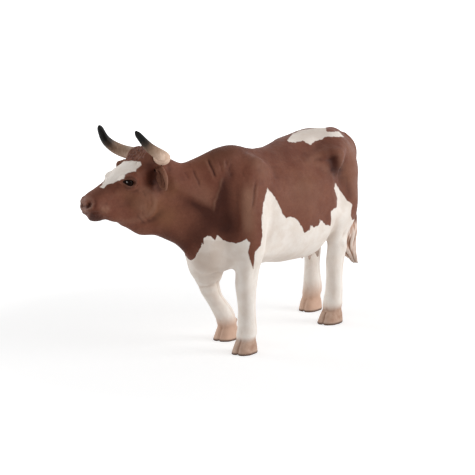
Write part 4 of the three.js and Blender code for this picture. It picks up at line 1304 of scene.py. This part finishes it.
def make_horn(name):
    piece, links = small_piece(name, voxel=0.3, turns=30, weight=0.5)
    places = read_places(piece)
    tip = places[places[:, 2].argmax()]
    reach = np.linalg.norm(places - tip, axis=1)
    write_values(piece, "tip", 1 - reach / horn_reaches[name])
    write_values(piece, "upper", read_normals(piece)[:, 2])
    write_hollows(piece, links)
    smooth(piece)
    dress(piece, horn, name)


def make_ear(name):
    piece, links = small_piece(name, voxel=0.26, turns=12, weight=0.5)
    places = read_places(piece)
    hair = hair_height * waves(places, len(name), (2.2, 3.1, 4.3))
    write_places(piece, places + read_normals(piece) * hair[:, None])
    write_hollows(piece, links)
    write_values(piece, "white", -deep)
    write_values(piece, "light", 0.6)
    bare = ("switch", "tawny", "muzzle", "dark", "shade", "hoof", "warm", "dewclaw", "udder", "eyelid")
    for value in bare:
        write_values(piece, value, 0)
    smooth(piece)
    dress(piece, hide, name)


def make_eye(side):
    """An eyeball that stands just proud of the skin, with a painted glint."""
    x, y, z = eye_place
    inwards = (on_head(0, -side, 0) - on_head(0, 0, 0)).normalized()
    found, normal, _, _ = bare_skin.ray_cast(on_head(x, side * 2 * y, z), inwards)
    middle = found - normal * (eye_radius - eye_proud)
    place = (middle - Vector(ground_shift)) * METRE
    bpy.ops.mesh.primitive_uv_sphere_add(
        segments=48, ring_count=32, radius=eye_radius * METRE, location=place
    )
    piece = bpy.context.object
    piece.name = ("left" if side > 0 else "right") + "_eye"
    bpy.ops.object.transform_apply(location=True, rotation=True, scale=True)
    glint = on_head(eye_glint[0], side * eye_glint[1], eye_glint[2])
    reach = np.linalg.norm(read_places(piece) - np.array(glint), axis=1)
    glow = smooth_step(glint_reach, glint_edge, reach - reach.min())
    write_values(piece, "glint", glint_strength * glow)
    smooth(piece)
    dress(piece, eye, None)


wash_and_painted_light = wash_and_painted_light_group()
hide = coat_material()
horn = horn_material()
eye = eye_material()
make_mouldings(skin)
for side in ("left", "right"):
    make_horn(side + "_horn")
    make_ear(side + "_ear")
make_eye(1)
make_eye(-1)


# Floor, lamps and camera

floor_glow = 1.53
lamp_aim = (0, 0, 0.04)


def seen_rays(tree):
    """1 for the rays by which the camera sees something, straight, mirrored or through glass."""
    path = tree.nodes.new("ShaderNodeLightPath").outputs
    rays = maths(tree, "MAXIMUM", path["Is Camera Ray"], path["Is Glossy Ray"])
    return maths(tree, "MAXIMUM", rays, path["Is Transmission Ray"])


def mix_shader(tree, share, low, high):
    inputs = {0: share, 1: low.outputs[0], 2: high.outputs[0]}
    return add_node(tree, "ShaderNodeMixShader", inputs).outputs[0]


def make_floor():
    """A floor that glows for the camera, and less so around the figure, where it shows the shadows."""
    bpy.ops.mesh.primitive_plane_add(size=8.0, location=(0, 0, 0))
    floor = bpy.context.object
    floor.name = "studio_floor"
    material, tree, shader = new_material("studio_floor")
    finish_shader(tree, shader, (0.93, 0.93, 0.93, 1.0), 0.9, 0.0)
    place = object_place(tree)
    reach = add_node(tree, "ShaderNodeVectorMath", {0: place}, operation="LENGTH").outputs["Value"]
    share = maths(tree, "MULTIPLY", seen_rays(tree), ramp(tree, reach, 0.09, 0.3, 0.35, 1.0))
    glow = add_node(tree, "ShaderNodeEmission", {"Color": (1, 1, 1, 1), "Strength": floor_glow})
    output = next(node for node in tree.nodes if node.type == "OUTPUT_MATERIAL")
    feed(tree, output.inputs["Surface"], mix_shader(tree, share, shader, glow))
    floor.data.materials.append(material)


def add_lamp(name, place, aim, size, power):
    data = bpy.data.lights.new(name, "AREA")
    data.shape = "DISK"
    data.size = size
    data.energy = power
    lamp = add_object(name, data)
    lamp.location = place
    lamp.rotation_euler = (Vector(aim) - Vector(place)).to_track_quat("-Z", "Y").to_euler()


def make_world():
    world = bpy.data.worlds.new("studio")
    bpy.context.scene.world = world
    tree = cleared_tree(world)
    light = add_node(tree, "ShaderNodeBackground", {"Color": (1, 1, 1, 1), "Strength": 0.6})
    seen = add_node(tree, "ShaderNodeBackground", {"Color": (1, 1, 1, 1), "Strength": 1.0})
    add_node(tree, "ShaderNodeOutputWorld", {"Surface": mix_shader(tree, seen_rays(tree), light, seen)})


def make_camera():
    data = bpy.data.cameras.new("photo_camera")
    data.sensor_width = 36
    data.lens = photo_focus * data.sensor_width / photo_size
    data.clip_end = 20
    camera = add_object("photo_camera", data)
    camera.location = (photo_eye - Vector(ground_shift)) * METRE
    camera.rotation_euler = (-photo_back).to_track_quat("-Z", "Y").to_euler()
    bpy.context.scene.camera = camera


def lamp_toward(right, up, back, distance=1.1):
    """A lamp's place, given by its direction as the camera sees it."""
    way = (photo_right * right + Vector((0, 0, 1)) * up + photo_back * back).normalized()
    return way * distance + Vector(lamp_aim)


make_floor()
make_world()
make_camera()
add_lamp("right_window", lamp_toward(0.95, 0.3, 0.12), lamp_aim, 0.8, 5.5)
add_lamp("left_window", lamp_toward(-0.85, 0.25, -0.5), lamp_aim, 0.7, 4.0)
bpy.context.scene.view_settings.view_transform = "Standard"
